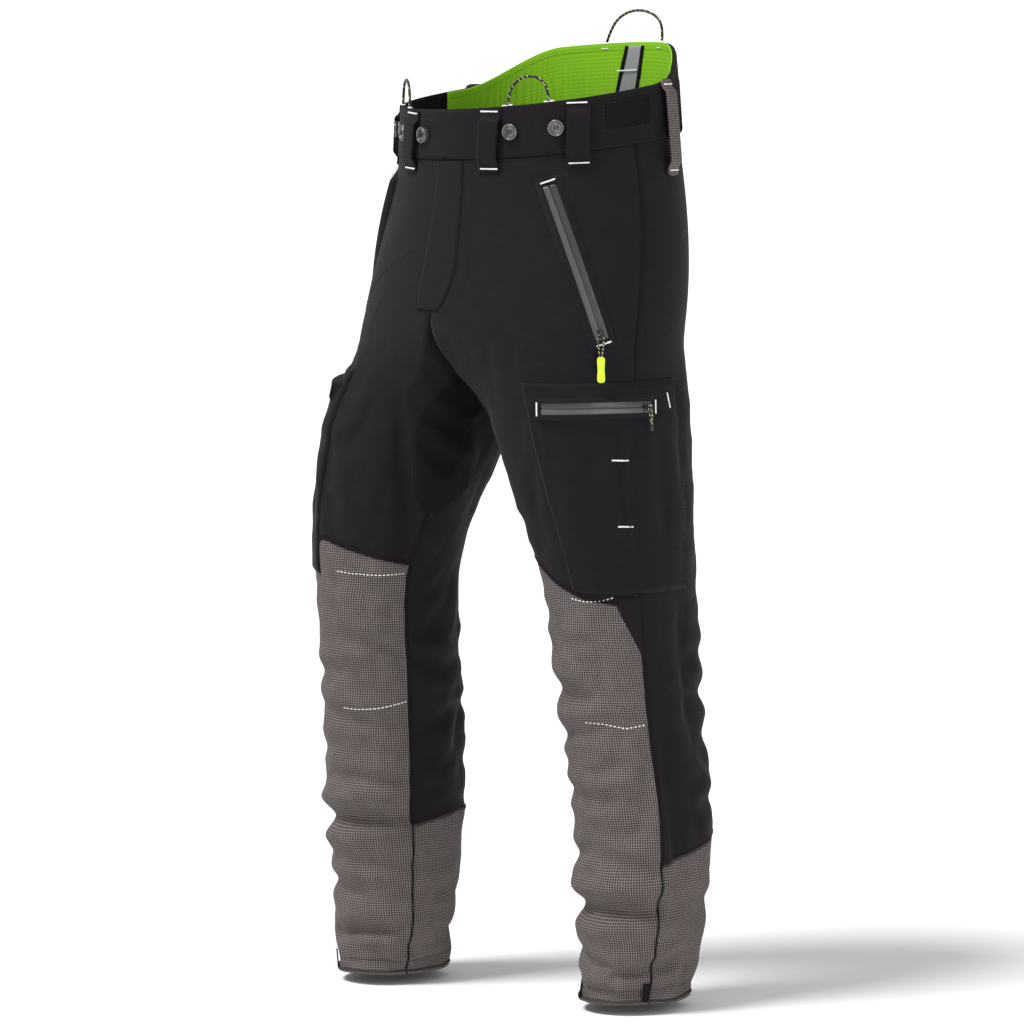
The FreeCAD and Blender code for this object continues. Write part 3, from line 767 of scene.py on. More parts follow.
def bend_at_knee(made):
    """Bakes a piece's placement into its mesh and leaves it unattached to any body."""
    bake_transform(made)


def make_legs():
    """The four cloth panels of each leg, cut along the real seams."""
    for side, sign in SIDES.items():
        knee, ankle, hem = 2 * KNEE_ROW, 2 * ANKLE_ROW, 2 * HEM_ROW
        parts = {
            "front_panel": ([hip_patch(side, 0, 2 * SEAM, FRONT_CENTRE),
                             leg_patch(side, FRONT, 0, knee, FRONT_CENTRE)], shell_cloth,
                            ("hip_panel", "thigh_front")),
            "back_panel": ([hip_patch(side, 2 * SEAM, 2 * OUTER, BACK_CENTRE),
                            leg_patch(side, BACK, 0, ankle, BACK_CENTRE)], shell_cloth,
                           ("seat_panel", "thigh_back", "knee_back", "calf_back")),
            "shin_guard": ([leg_patch(side, FRONT, knee, hem, FRONT_CENTRE)], grid_cloth,
                           ("knee_front", "shin_front")),
            "ankle_guard": ([leg_patch(side, BACK, ankle, hem, BACK_CENTRE)], grid_cloth,
                            ("ankle_back",)),
        }
        for name, (patches, material, nodes) in parts.items():
            points, faces, uv = cloth_solid(patches, 0.0016, flip=sign < 0)
            made = add_object(f"{name}_{side}", points, faces, material, uv)
            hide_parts(*(f"{n}_{side}" for n in nodes))
            if name in ("back_panel", "shin_guard"):
                bend_at_knee(made)
            else:
                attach(made, f"shin_{side}" if name == "ankle_guard" else "root")


make_legs()


# ---- laying things on the cloth -------------------------------------------------------------------
class Ground:
    """The settled cloth: takes points on the unfolded body to the same places on the folds."""

    def __init__(self):
        self.patches = []
        for s in SIDES:
            self.patches.append((first_hip[s], hip[s], hip_out[s]))
            closed = [np.concatenate([g, g[:, :1]], axis=1) for g in (first_leg[s], leg[s], leg_out[s])]
            self.patches.append(tuple(closed))
        points, faces, self.where, start = [], [], [], 0
        for k, (flat, _, _) in enumerate(self.patches):
            h, w = flat.shape[:2]
            points.append(flat.reshape(-1, 3))
            faces.append(quads_of(h, w, start))
            rows, columns = np.mgrid[0:h - 1, 0:w - 1]
            self.where.append(np.stack([np.full(rows.size, k), rows.ravel(), columns.ravel()], 1))
            start += h * w
        self.where = np.concatenate(self.where)
        self.tree = BVHTree.FromPolygons(np.concatenate(points).tolist(), np.concatenate(faces).tolist())

    def spot(self, point):
        """Place and outward direction on the folded cloth nearest to a point of the unfolded body."""
        at, _, index, _ = self.tree.find_nearest(Vector(point))
        k, r, c = self.where[index]
        flat, folded, out = self.patches[k]
        corner = flat[r, c]
        across, down = flat[r, c + 1] - corner, flat[r + 1, c] - corner
        d = np.array(at) - corner
        m = np.array([[across @ across, across @ down], [across @ down, down @ down]])
        a, b = np.clip(np.linalg.solve(m + np.eye(2) * 1e-12, [across @ d, down @ d]), 0, 1)
        weights = ((1 - a) * (1 - b), a * (1 - b), (1 - a) * b, a * b)
        cells = ((r, c), (r, c + 1), (r + 1, c), (r + 1, c + 1))
        place = sum(w * folded[i] for w, i in zip(weights, cells))
        normal = sum(w * out[i] for w, i in zip(weights, cells))
        return place, normal / np.linalg.norm(normal)

    def lay(self, points):
        """Places and outward directions for an array of points."""
        shape = points.shape
        found = [self.spot(p) for p in points.reshape(-1, 3)]
        places, normals = (np.array([f[i] for f in found]).reshape(shape) for i in (0, 1))
        return places, normals


ground = Ground()


def unit(v):
    """Vectors at length 1."""
    v = np.asarray(v, float)
    return v / np.maximum(np.linalg.norm(v, axis=-1, keepdims=True), 1e-12)


def path_frames(path, normals):
    """Tangent and sideways directions along a path on the cloth."""
    tangent = unit(np.gradient(path, axis=0))
    side = unit(np.cross(normals, tangent))
    return tangent, side


def loft(sections, close=True):
    """Points and faces of a tube through closed sections, with flat ends."""
    n, m = sections.shape[:2]
    faces = []
    for i in range(n - 1):
        for k in range(m):
            a, b = i * m + k, i * m + (k + 1) % m
            faces.append((a, b, b + m, a + m))
    if close:
        faces += [tuple(range(m))[::-1], tuple(range((n - 1) * m, n * m))]
    return sections.reshape(-1, 3), faces


def welt(path, normals, width, height, shift=0.0, base=-0.0004):
    """A low rounded strip along a path, as points and faces."""
    _, side = path_frames(path, normals)
    across = np.array([-0.5, -0.46, -0.30, 0.0, 0.30, 0.46, 0.5, 0.5, -0.5]) * width + shift
    rise = np.array([0.15, 0.75, 1.0, 1.0, 1.0, 0.75, 0.15, 0, 0]) * height
    rise[-2:] = base
    sections = path[:, None] + side[:, None] * across[None, :, None] + normals[:, None] * rise[None, :, None]
    return loft(sections)


def stitch_line(path, normals, shift=0.0, length=0.0032, gap=0.0012, width=0.00075, lift=0.0):
    """Single stitches along a path, as points and faces."""
    _, side = path_frames(path, normals)
    path = path + side * shift + normals * lift
    steps = np.linalg.norm(np.diff(path, axis=0), axis=1)
    at = np.concatenate([[0], np.cumsum(steps)])
    count = int(at[-1] / (length + gap))
    starts = (np.arange(count) + 0.15) * (length + gap)
    def along(values, s):
        return np.stack([np.interp(s, at, values[:, k]) for k in range(3)], -1)
    points, faces = [], []
    for s in starts:
        ends = along(path, np.array([s, s + length / 2, s + length]))
        out = unit(along(normals, np.array([s + length / 2])))[0]
        across = unit(np.cross(out, ends[2] - ends[0]))
        base = len(points)
        points += [ends[0], ends[2]]
        points += [ends[1] + across * width / 2, ends[1] + out * width * 0.55,
                   ends[1] - across * width / 2, ends[1] - out * width * 0.4]
        for k in range(4):
            a, b = base + 2 + k, base + 2 + (k + 1) % 4
            faces += [(base, a, b), (base + 1, b, a)]
    return np.array(points), faces


def ribbed(path, normals, width, height, count):
    """A close zigzag of thread: ribs across a short bar."""
    _, side = path_frames(path, normals)
    share = np.linspace(0, 1, len(path))
    rib = 0.72 + 0.28 * np.cos(2 * np.pi * share * count)
    across = np.array([-0.5, -0.3, 0, 0.3, 0.5, 0.5, -0.5]) * width
    rise = np.array([0.1, 0.8, 1, 0.8, 0.1, -0.3, -0.3]) * height
    sections = path[:, None] + side[:, None] * (across[None, :] * (0.85 + 0.15 * rib[:, None]))[..., None]
    sections = sections + normals[:, None] * (rise[None, :] * rib[:, None])[..., None]
    return loft(sections)


def joined_mesh(parts):
    """Several meshes as one."""
    points, faces, start = [], [], 0
    for p, f in parts:
        points.append(p)
        faces += [[start + i for i in face] for face in f]
        start += len(p)
    return np.concatenate(points), faces


def lengths_uv(points):
    """Cloth coordinates of a grid from its own edge lengths."""
    u = np.concatenate([np.zeros((points.shape[0], 1)),
                        np.cumsum(np.linalg.norm(np.diff(points, axis=1), axis=-1), axis=1)], axis=1)
    v = np.concatenate([np.zeros((1, points.shape[1])),
                        np.cumsum(np.linalg.norm(np.diff(points, axis=0), axis=-1), axis=0)])
    return np.stack([u, v], -1)


def patch(name, body_grid, lift, material, flip=False, sink=0.0008, uv=None):
    """A sewn-on piece: a grid laid on the cloth and lifted off it, thin at its edges."""
    place, out = ground.lay(body_grid)
    h, w = place.shape[:2]
    lift = np.broadcast_to(lift, (h, w)).copy()
    top = place + out * lift[..., None]
    under = place - out * sink
    uv = lengths_uv(body_grid) if uv is None else uv
    n = h * w
    faces = [list(f) for f in quads_of(h, w, 0, flip)] + [list(f[::-1] + n) for f in quads_of(h, w, 0, flip)]
    grid = np.arange(n).reshape(h, w)
    border = np.concatenate([grid[0, :-1], grid[:-1, -1], grid[-1, :0:-1], grid[:0:-1, 0]])
    for a, b in zip(border, np.roll(border, -1)):
        faces.append([b, a, a + n, b + n] if flip else [a, b, b + n, a + n])
    points = np.concatenate([top.reshape(-1, 3), under.reshape(-1, 3)])
    made = add_object(name, points, faces, material, np.concatenate([uv.reshape(-1, 2)] * 2))
    return made, top, out


def edge_fade(h, w, rows=1, columns=1):
    """1 inside a grid and falling to 0.25 at its border."""
    r = np.minimum(np.arange(h), np.arange(h)[::-1]) / rows
    c = np.minimum(np.arange(w), np.arange(w)[::-1]) / columns
    return 0.25 + 0.75 * np.minimum(smooth(r)[:, None], smooth(c)[None, :])


# ---- seams ----------------------------------------------------------------------------------------
def leg_line(side, rows, column):
    return leg[side][rows, column % FINE_RING], leg_out[side][rows, column % FINE_RING]


def row_line(side, row, columns):
    return leg[side][row, columns], leg_out[side][row, columns]


def chain(*lines):
    return tuple(np.concatenate([line[i] for line in lines]) for i in (0, 1))


def make_seams():
    for side, sign in SIDES.items():
        knee, ankle, hem = 2 * KNEE_ROW, 2 * ANKLE_ROW, 2 * HEM_ROW
        outer = chain((hip[side][:-1, 2 * SEAM], hip_out[side][:-1, 2 * SEAM]),
                      leg_line(side, np.arange(0, hem + 1), 2 * SEAM))
        inner = leg_line(side, np.arange(0, hem + 1), 2 * INSEAM)
        top = row_line(side, knee, FRONT)
        back = row_line(side, ankle, BACK)
        upper = 2 * HIP_ROWS + 1 + ankle
        long_welts = joined_mesh([
            welt(outer[0][:upper], outer[1][:upper], 0.0048, 0.0010),
            welt(inner[0][:ankle], inner[1][:ankle], 0.0048, 0.0010),
            welt(outer[0][upper - 2:], outer[1][upper - 2:], 0.0016, 0.0009),
            welt(inner[0][ankle - 2:], inner[1][ankle - 2:], 0.0016, 0.0009)])
        made = add_object(f"leg_seams_{side}", *long_welts, shell_edge)
        bend_at_knee(made)
        lines = [stitch_line(*line, s, lift=0.0006) for line in (outer, inner) for s in (0.0016, -0.0016)]
        made = add_object(f"leg_seam_threads_{side}", *joined_mesh(lines), black_thread)
        bend_at_knee(made)
        made = add_object(f"knee_seam_{side}", *joined_mesh([welt(*top, 0.0045, 0.0010, 0.0018 * sign)]),
                          shell_edge)
        bend_at_knee(made)
        made = add_object(f"knee_seam_threads_{side}",
                          *joined_mesh([stitch_line(*top, s * sign, lift=0.0009) for s in (0.001, 0.0038)]),
                          black_thread)
        bend_at_knee(made)
        parts = [welt(*back, 0.0035, 0.0010)]
        hem_ring = [leg[side][hem - 1], leg_out[side][hem - 1]]
        hem_ring = [np.concatenate([v, v[:1]]) for v in hem_ring]
        parts.append(welt(*hem_ring, 0.003, 0.0012))
        made = add_object(f"ankle_seams_{side}", *joined_mesh(parts), grid_edge)
        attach(made, f"shin_{side}")
        lines = [stitch_line(*back, s, lift=0.0009) for s in (0.0015, -0.0015)]
        level = [leg[side][hem - 5], leg_out[side][hem - 5]]
        level = [np.concatenate([v, v[:1]]) for v in level]
        lines += [stitch_line(*level, 0.0, lift=0.0002), stitch_line(*level, 0.0016, lift=0.0002)]
        made = add_object(f"hem_threads_{side}", *joined_mesh(lines), black_thread)
        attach(made, f"shin_{side}")


def make_rise():
    """The seam up the middle of the back and front and under the fork."""
    hs = hip["left"], hip_out["left"]
    back = (hs[0][:-1, -1], hs[1][:-1, -1])
    under = (leg["left"][0, 2 * OUTER:], np.broadcast_to([0.0, 0.0, -1.0], leg["left"][0, 2 * OUTER:].shape))
    rows = np.arange(2 * HIP_ROWS, 2 * HIP_ROWS - 14, -1)
    front = (hs[0][rows, 0], hs[1][rows, 0])
    mix = np.linspace(0, 1, len(under[0]))[:, None]
    turn = unit(under[1] + hs[1][-1, -1] * np.clip(1 - 3 * mix, 0, 1) +
                hs[1][-1, 0] * np.clip(3 * mix - 2, 0, 1))
    line = chain(back, (under[0], turn), front)
    line = tuple(np.where(np.abs(v) < 1e-9, 0, v) for v in line)
    made = add_object("rise_seam", *joined_mesh([welt(*line, 0.007, 0.0013)]), shell_edge)
    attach(made, "root")
    lines = [stitch_line(*line, s, lift=0.0011) for s in (0.0018, -0.0018)]
    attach(add_object("rise_seam_threads", *joined_mesh(lines), black_thread), "root")


shell_edge = plain("shell_edge", BLACK, 0.8, 0.15, 1500.0, specular=0.12)
grid_edge = plain("grid_edge", (0.045, 0.038, 0.037), 0.85, 0.5, 1600.0, specular=0.12)
make_seams()
make_rise()


# ---- pockets, fly and patches ---------------------------------------------------------------------
def ease(values, low, high):
    return smooth((np.asarray(values) - low) / (high - low))


def leg_block(side, angles, heights):
    return leg_point(side, np.asarray(angles)[None, :], np.asarray(heights)[:, None])


tacks = {"root": []}


def tack_off(start, end, out, width=0.0019, height=0.0010):
    """A bar tack in a straight line between two points, facing a direction."""
    share = np.linspace(0, 1, 43)[:, None]
    line = np.asarray(start) * (1 - share) + np.asarray(end) * share
    tacks["root"].append(ribbed(line, np.broadcast_to(unit(out), line.shape), width, height, 14))


def cargo_pockets():
    """The patch pocket on each thigh, with a pleat, stitching and bar tacks."""
    for side, sign in SIDES.items():
        angles, heights = np.linspace(16, 113, 88), np.linspace(-0.246, -0.486, 76)
        block = leg_block(side, angles, heights)
        a, b = np.linspace(0, 1, 88)[None, :], np.linspace(0, 1, 76)[:, None]
        belly = np.sin(np.pi * a) ** 0.6 * np.sin(np.pi * b) ** 0.6
        puff = 0.0030 + 0.0024 * belly
        fold = 0.0009 * np.sin(9 * a + 3 * b + sign) * np.sin(7 * b - 2 * a)
        pleat_at = 68 - 4 * (heights[:, None] + 0.30) / -0.104
        turn = angles[None, :] - pleat_at
        inside = ease(-heights, 0.292, 0.300)[:, None] * ease(heights, -0.425, -0.415)[:, None]
        crease = -0.0026 * np.exp(-((turn / 1.0) ** 2)) + 0.0012 * np.exp(-(((turn - 2.6) / 1.6) ** 2))
        lift = (puff + fold + crease * inside) * edge_fade(76, 88, 1.6, 1.6)
        uv = lengths_uv(block)
        made, top, out = patch(f"cargo_pocket_{side}", block, lift, shell_cloth, flip=sign < 0, uv=uv)
        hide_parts(f"cargo_pocket_{side}")
        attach(made, "root")
        rows, columns = slice(1, -1), slice(1, -1)
        edges = [(top[rows, 2], out[rows, 2]), (top[-3, columns], out[-3, columns]),
                 (top[rows, -3], out[rows, -3]), (top[2, columns], out[2, columns])]
        lines = [stitch_line(*e, s, lift=0.0002) for e in edges for s in (0.0, 0.0022)]
        lines.append(stitch_line(top[18:60, 47], out[18:60, 47], 0.0015, lift=0.0002))
        made = add_object(f"cargo_pocket_threads_{side}", *joined_mesh(lines), black_thread)
        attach(made, "root")
        for z, t, half in ((-0.333, 66.8, 4.3), (-0.409, 63.8, 4.3)):
            tack_on(leg_point(side, t - half, z, 0.004),
                    leg_point(side, t + half, z - 0.001, 0.004), top, out)
        tack_on(leg_point(side, 103, -0.262), leg_point(side, 104, -0.279), top, out)


def tack_on(start, end, top, out):
    """A bar tack on a patch's own raised surface."""
    flat = top.reshape(-1, 3)
    normals = out.reshape(-1, 3)
    ends = [ground.spot(p)[0] for p in (start, end)]
    share = np.linspace(0, 1, 43)[:, None]
    line = ends[0] * (1 - share) + ends[1] * share
    nearest = [int(np.argmin(((flat - p) ** 2).sum(1))) for p in line]
    n = unit(normals[nearest])
    height = ((flat[nearest] - line) * n).sum(1)
    height = np.full(height.shape, height.max() + 0.0003)
    tacks["root"].append(ribbed(line + n * height[:, None], n, 0.0019, 0.0010, 14))


class Arc:
    """A zip's line: the circle that its slider's joint moves it round."""

    def __init__(self, kind, side):
        joint = JOINTS[f"{kind}_zip_{side}"]
        self.axis = unit(joint["axis"])
        pull = np.array(JOINTS[f"{kind}_pull_swing_{side}"]["pos_m"])
        arm = pull - np.array(joint["pos_m"])
        self.centre = np.array(joint["pos_m"]) + self.axis * (arm @ self.axis)
        self.start = unit(pull - self.centre)
        self.forward = np.cross(self.axis, self.start)

    def out_at(self, point):
        """The direction away from the body at a point of the zip."""
        arm = point - self.centre
        return unit(arm - self.axis * (arm @ self.axis))

    def fit(self, tape):
        """The radius of the tape's outer face and the reach of the tape, from its node."""
        points = np.array([v.co for v in NODES[tape].data.vertices]) - self.centre
        points = points - np.outer(points @ self.axis, self.axis)
        self.radius = np.linalg.norm(points, axis=1).max() + 0.0002
        turn = np.arctan2(points @ self.forward, points @ self.start)
        self.low, self.high = turn.min() * self.radius, turn.max() * self.radius

    def grid(self, along, across, height):
        """Points for lengths along the zip, distances across it and heights over its tape."""
        turn = np.asarray(along) / self.radius
        out = self.start * np.cos(turn)[:, None] + self.forward * np.sin(turn)[:, None]
        height = np.broadcast_to(height, (len(along), len(across)))
        return (self.centre + out[:, None] * (self.radius + height[..., None]) +
                self.axis * np.asarray(across)[None, :, None])


def zip_count(arc):
    """Points along a zip, about 3 mm apart."""
    return int((arc.high - arc.low) / 0.003)


def zip_tape_piece(arc, side, kind, half, tape_material):
    """The laminated tape: two flat halves that dip to the teeth between them."""
    n = zip_count(arc)
    along = np.linspace(arc.low + 0.001, arc.high - 0.001, n)
    ridge = np.array([-half, -half + 0.0008, -half * 0.62, -half * 0.3, -0.0011, -0.0004, 0.0004, 0.0011,
                      half * 0.3, half * 0.62, half - 0.0008, half])
    height = np.array([-0.0007, -0.0003, -0.0001, 0.0, 0.0, -0.0009, -0.0009, 0.0, 0.0, -0.0001,
                       -0.0003, -0.0007])
    wobble = 0.0001 * np.sin(along[:, None] * 300) * np.ones(len(ridge))
    top = arc.grid(along, ridge, height[None, :] + wobble)
    low = arc.grid(along, ridge, np.full((n, len(ridge)), -0.0016))
    sections = np.concatenate([top, low[:, ::-1]], axis=1)
    points, faces = loft(sections)
    u = np.concatenate([ridge, ridge[::-1]])
    uv = np.stack(np.broadcast_arrays(u[None, :], along[:, None]), -1).reshape(-1, 2)
    made = add_object(f"{kind}_zip_tape_{side}", points, faces, tape_material, uv)
    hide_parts(f"{kind}_zip_{side}")
    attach(made, "root")


def zip_welt(arc, side, kind, half):
    """The cloth welt round a zip, from the body up and over the tape's edges, with its stitching."""
    frame_out = np.array([0.0085, 0.0070, 0.0030, 0.0004, -0.0010, -0.0010])
    rise = np.array([0.0, 0.25, 0.85, 1.0, 1.0, 1.0])
    extra = np.array([0.0, 0.0, 0.0, 0.0006, 0.0006, -0.0004])
    loops = []
    middle = (arc.low + arc.high) / 2
    length = (arc.high - arc.low) / 2
    count_long, count_short = zip_count(arc), 9
    for reach_out, up, more in zip(frame_out, rise, extra):
        l, w = length + reach_out, half + reach_out
        s = np.concatenate([np.linspace(-l, l, count_long)[:-1], np.full(count_short, l)[:-1],
                            np.linspace(l, -l, count_long)[:-1], np.full(count_short, -l)[:-1]]) + middle
        v = np.concatenate([np.full(count_long - 1, -w), np.linspace(-w, w, count_short)[:-1],
                            np.full(count_long - 1, w), np.linspace(w, -w, count_short)[:-1]])
        turn = s / arc.radius
        out = arc.start * np.cos(turn)[:, None] + arc.forward * np.sin(turn)[:, None]
        tape_level = arc.centre + out * arc.radius + arc.axis * v[:, None]
        cloth, normal = ground.lay(tape_level)
        level = cloth * (1 - up) + tape_level * up + out * more - normal * (0.0006 if up == 0 else 0)
        loops.append(level)
    loops = np.array(loops)
    base = ground.lay(loops[-1])[0] * 0.75 + loops[-1] * 0.25
    under = ground.lay(loops[0])
    loops = np.concatenate([loops, base[None], (under[0] - under[1] * 0.002)[None]])
    r, m = loops.shape[:2]
    faces = [(i * m + k, i * m + (k + 1) % m, ((i + 1) % r) * m + (k + 1) % m, ((i + 1) % r) * m + k)
             for i in range(r) for k in range(m)]
    flat = np.zeros((r * m, 2))
    perimeter = np.concatenate([[0], np.cumsum(np.linalg.norm(np.diff(loops[2], axis=0), axis=1))])
    flat[:, 0] = np.tile(perimeter, r)
    flat[:, 1] = np.repeat(np.arange(r) * 0.003, m)
    made = add_object(f"{kind}_zip_welt_{side}", loops.reshape(-1, 3), faces, shell_cloth, flat)
    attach(made, "root")
    around = np.concatenate([loops[1], loops[1][:1]])
    place, normal = ground.lay(around)
    lines = [stitch_line(place, normal, 0, lift=0.0018)]
    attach(add_object(f"{kind}_zip_threads_{side}", *joined_mesh(lines), black_thread), "root")


def zip_piece(side, kind, width, tape_material):
    """One whole zip; gives back the line that it follows."""
    arc = Arc(kind, side)
    arc.fit(f"{kind}_zip_{side}")
    zip_tape_piece(arc, side, kind, width / 2, tape_material)
    zip_welt(arc, side, kind, width / 2)
    return arc


def zip_tape_material(name):
    """Laminated tape: satin grey with a paler band down one half and a dark line at the teeth."""
    material = bpy.data.materials.new(name)
    n = Nodes(material)
    uv, u, _ = cloth_uv(n)
    gap = n.math("LESS_THAN", n.math("ABSOLUTE", u), 0.00075)
    pale = n.math("MULTIPLY", n.math("GREATER_THAN", u, 0.001), 0.45)
    patch_noise = n.noise(uv, 220.0, 3.0)
    base = n.mix(patch_noise, rgba(0.024, 0.023, 0.025), rgba(0.038, 0.036, 0.039))
    base = n.mix(pale, base, rgba(0.105, 0.103, 0.108))
    colour = n.mix(gap, base, rgba(0.012, 0.012, 0.012))
    n.finish(colour, 0.36, patch_noise, 0.15, 0.0002, coat=0.25, coat_rough=0.3, specular=0.5)
    return material


zip_tape = zip_tape_material("zip_tape")
cargo_pockets()
ARCS = {}
for side in SIDES:
    ARCS["hand", side] = zip_piece(side, "hand", 0.0175, zip_tape)
    ARCS["cargo", side] = zip_piece(side, "cargo", 0.0155, zip_tape)


def zip_tacks():
    """A bar tack across each end of each zip."""
    for (kind, _), arc in ARCS.items():
        half = 0.0088 if kind == "hand" else 0.0078
        for end in (arc.low - 0.003, arc.high + 0.003):
            corners = arc.grid([end], [-half, half], 0.0011)[0]
            tack_off(corners[0], corners[1], arc.out_at(corners.mean(0)))


zip_tacks()


def gussets():
    """The stretch panel inside each thigh, in the same cloth as the fork but plainer and darker."""
    for side, sign in SIDES.items():
        heights = np.linspace(-0.238, -0.412, 46)
        front = np.interp(-heights, [0.236, 0.267, 0.305, 0.345, 0.385, 0.413],
                          [-66, -57, -49, -53, -61, -76])
        back = np.interp(-heights, [0.236, 0.290, 0.335, 0.388, 0.413], [-118, -133, -137, -101, -80])
        if sign > 0:
            front, back = front - 8, back - 12
        share = np.linspace(0, 1, 40)[None, :]
        angles = front[:, None] * (1 - share) + back[:, None] * share
        block = leg_point(side, angles, np.repeat(heights[:, None], 40, 1))
        fade = edge_fade(46, 40, 1, 1)
        made, top, out = patch(f"thigh_gusset_{side}", block, 0.0009 * fade, stretch_cloth, flip=sign > 0)
        if side == "left":
            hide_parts("crotch_gusset")
        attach(made, "root")
        border = [(top[:, 0], out[:, 0]), (top[:, -1], out[:, -1])]
        lines = [stitch_line(*b, s, lift=0.0003) for b in border for s in (0.0015, -0.0015)]
        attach(add_object(f"gusset_threads_{side}", *joined_mesh(lines), black_thread), "root")


gussets()


def knee_lines():
    """Pale stitching where the knee pad's pocket is sewn behind the grid cloth."""
    table = {
        "left": (((12, -0.4930), (25, -0.4965), (38, -0.4950), (49, -0.4905)),
                 ((12, -0.6330), (28, -0.6345), (48, -0.6400), (66, -0.6360))),
        "right": (((-8, -0.4800), (-25, -0.4820), (-48, -0.4820), (-70, -0.4805)),
                  ((-10, -0.6400), (-25, -0.6410), (-45, -0.6385), (-69, -0.6310))),
    }
    for side, lines in table.items():
        parts = []
        for stops in lines:
            angle, height = zip(*stops)
            share = np.linspace(0, len(stops) - 1, 60)
            t = np.interp(share, range(len(stops)), angle)
            z = np.interp(share, range(len(stops)), height)
            place, out = ground.lay(leg_point(side, t, z))
            parts.append(stitch_line(place, out, 0, 0.0042, 0.0006, 0.0019, lift=0.0005))
        made = add_object(f"knee_pad_threads_{side}", *joined_mesh(parts), white_thread)
        bend_at_knee(made)


knee_lines()


def side_wedge():
    """The black corner between the left knee panel and the side seam."""
    for side, sign in SIDES.items():
        heights = np.linspace(-0.490, -0.560, 30)
        seam_at = 88 - turned(side, heights)
        reach_in = np.interp(-heights, [0.490, 0.560], [22.0, 0.6])
        share = np.linspace(0, 1, 12)[None, :]
        angles = (seam_at - reach_in)[:, None] * (1 - share) + seam_at[:, None] * share
        block = leg_point(side, angles, np.repeat(heights[:, None], 12, 1))
        lift = 0.0011 * edge_fade(30, 12)
        made, top, out = patch(f"knee_corner_{side}", block, lift, shell_cloth, flip=sign < 0)
        bend_at_knee(made)
        lines = [stitch_line(top[:, 0], out[:, 0], s * sign, lift=0.0003) for s in (0.0015,)]
        bend_at_knee(add_object(f"knee_corner_threads_{side}", *joined_mesh(lines), black_thread))


side_wedge()


def fly():
    """The flap over the fly zip, and its J-shaped stitching."""
    heights = np.concatenate([np.linspace(-0.003, -0.11, 40)[:-1], np.linspace(-0.11, -0.171, 26)])
    below = np.clip((-0.11 - heights) / 0.062, 0, 1)
    edge = 8.0 - 5.5 * below ** 2
    share = np.linspace(0, 1, 18)[None, :]
    angles = -4.0 * (1 - share) + edge[:, None] * share
    block = body_point(angles, np.repeat(heights[:, None], 18, 1))
    h, w = angles.shape
    lift = 0.0022 * edge_fade(3, w)[1][None, :] * np.ones((h, 1))
    made, top, out = patch("fly_flap", block, lift, shell_cloth)
    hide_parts("fly_flap")
    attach(made, "root")
    j = 12.0 - 9.0 * np.clip((-0.12 - heights) / 0.055, 0, 1) ** 2
    place, normal = ground.lay(body_point(j, heights))
    lines = [stitch_line(place, normal, s, lift=0.0004) for s in (0.0, 0.0045)]
    lines.append(stitch_line(top[:, -2], out[:, -2], lift=0.0003))
    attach(add_object("fly_threads", *joined_mesh(lines), black_thread), "root")


fly()


def thigh_stitching():
    """The yoke's slanting seam on each front, and the stitching round the foot of each hand pocket."""
    lines = []
    for sign in (1, -1):
        share = np.linspace(0, 1, 70)
        if sign < 0:
            angles, heights = 9 + 43 * share, -0.104 - 0.081 * share + 0.006 * np.sin(np.pi * share)
            place, out = ground.lay(body_point(sign * angles, heights))
            lines += [stitch_line(place, out, s, lift=0.0003) for s in (0.0, 0.0022)]
        upper = body_point(sign * (22 + 10 * share[:-1]), -0.150 - 0.060 * share[:-1] ** 1.2)
        side = "left" if sign > 0 else "right"
        lower = leg_point(side, 32 + 15 * share ** 0.8, -0.2195 - 0.020 * np.sin(share * np.pi / 2))
        place, out = ground.lay(np.concatenate([upper, lower]))
        lines.append(stitch_line(place, out, lift=0.0003))
    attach(add_object("thigh_threads", *joined_mesh(lines), black_thread), "root")


thigh_stitching()


# ---- waistband ------------------------------------------------------------------------------------
BAND_TOP, BACK_TOP = 0.055, 0.087
LINING_START, LINING_END = 121.0, 268.0  # the green lining, round the back from the left to the right


def back_height(angle):
    """Top edge of the garment, which rises behind the hips."""
    a = np.abs((np.asarray(angle, float) + 180) % 360 - 180)
    return BAND_TOP + (BACK_TOP - BAND_TOP) * smooth((a - 100) / 50)


def rolled(angles, heights, outer, inner, top_round=4):
    """Closed sections of a band: up its outer face, over its top and down its inner face."""
    outer_face = [(z, outer) for z in heights]
    middle, half = (outer + inner) / 2, (outer - inner) / 2
    over = [(1.0, middle + half * math.cos(t)) for t in np.linspace(0.5, math.pi - 0.5, top_round)]
    lift = [half * math.sin(t) for t in np.linspace(0.5, math.pi - 0.5, top_round)]
    inner_face = [(z, inner) for z in heights[::-1]]
    profile = outer_face + over + inner_face
    rise = [0.0] * len(outer_face) + lift + [0.0] * len(inner_face)
    return profile, rise


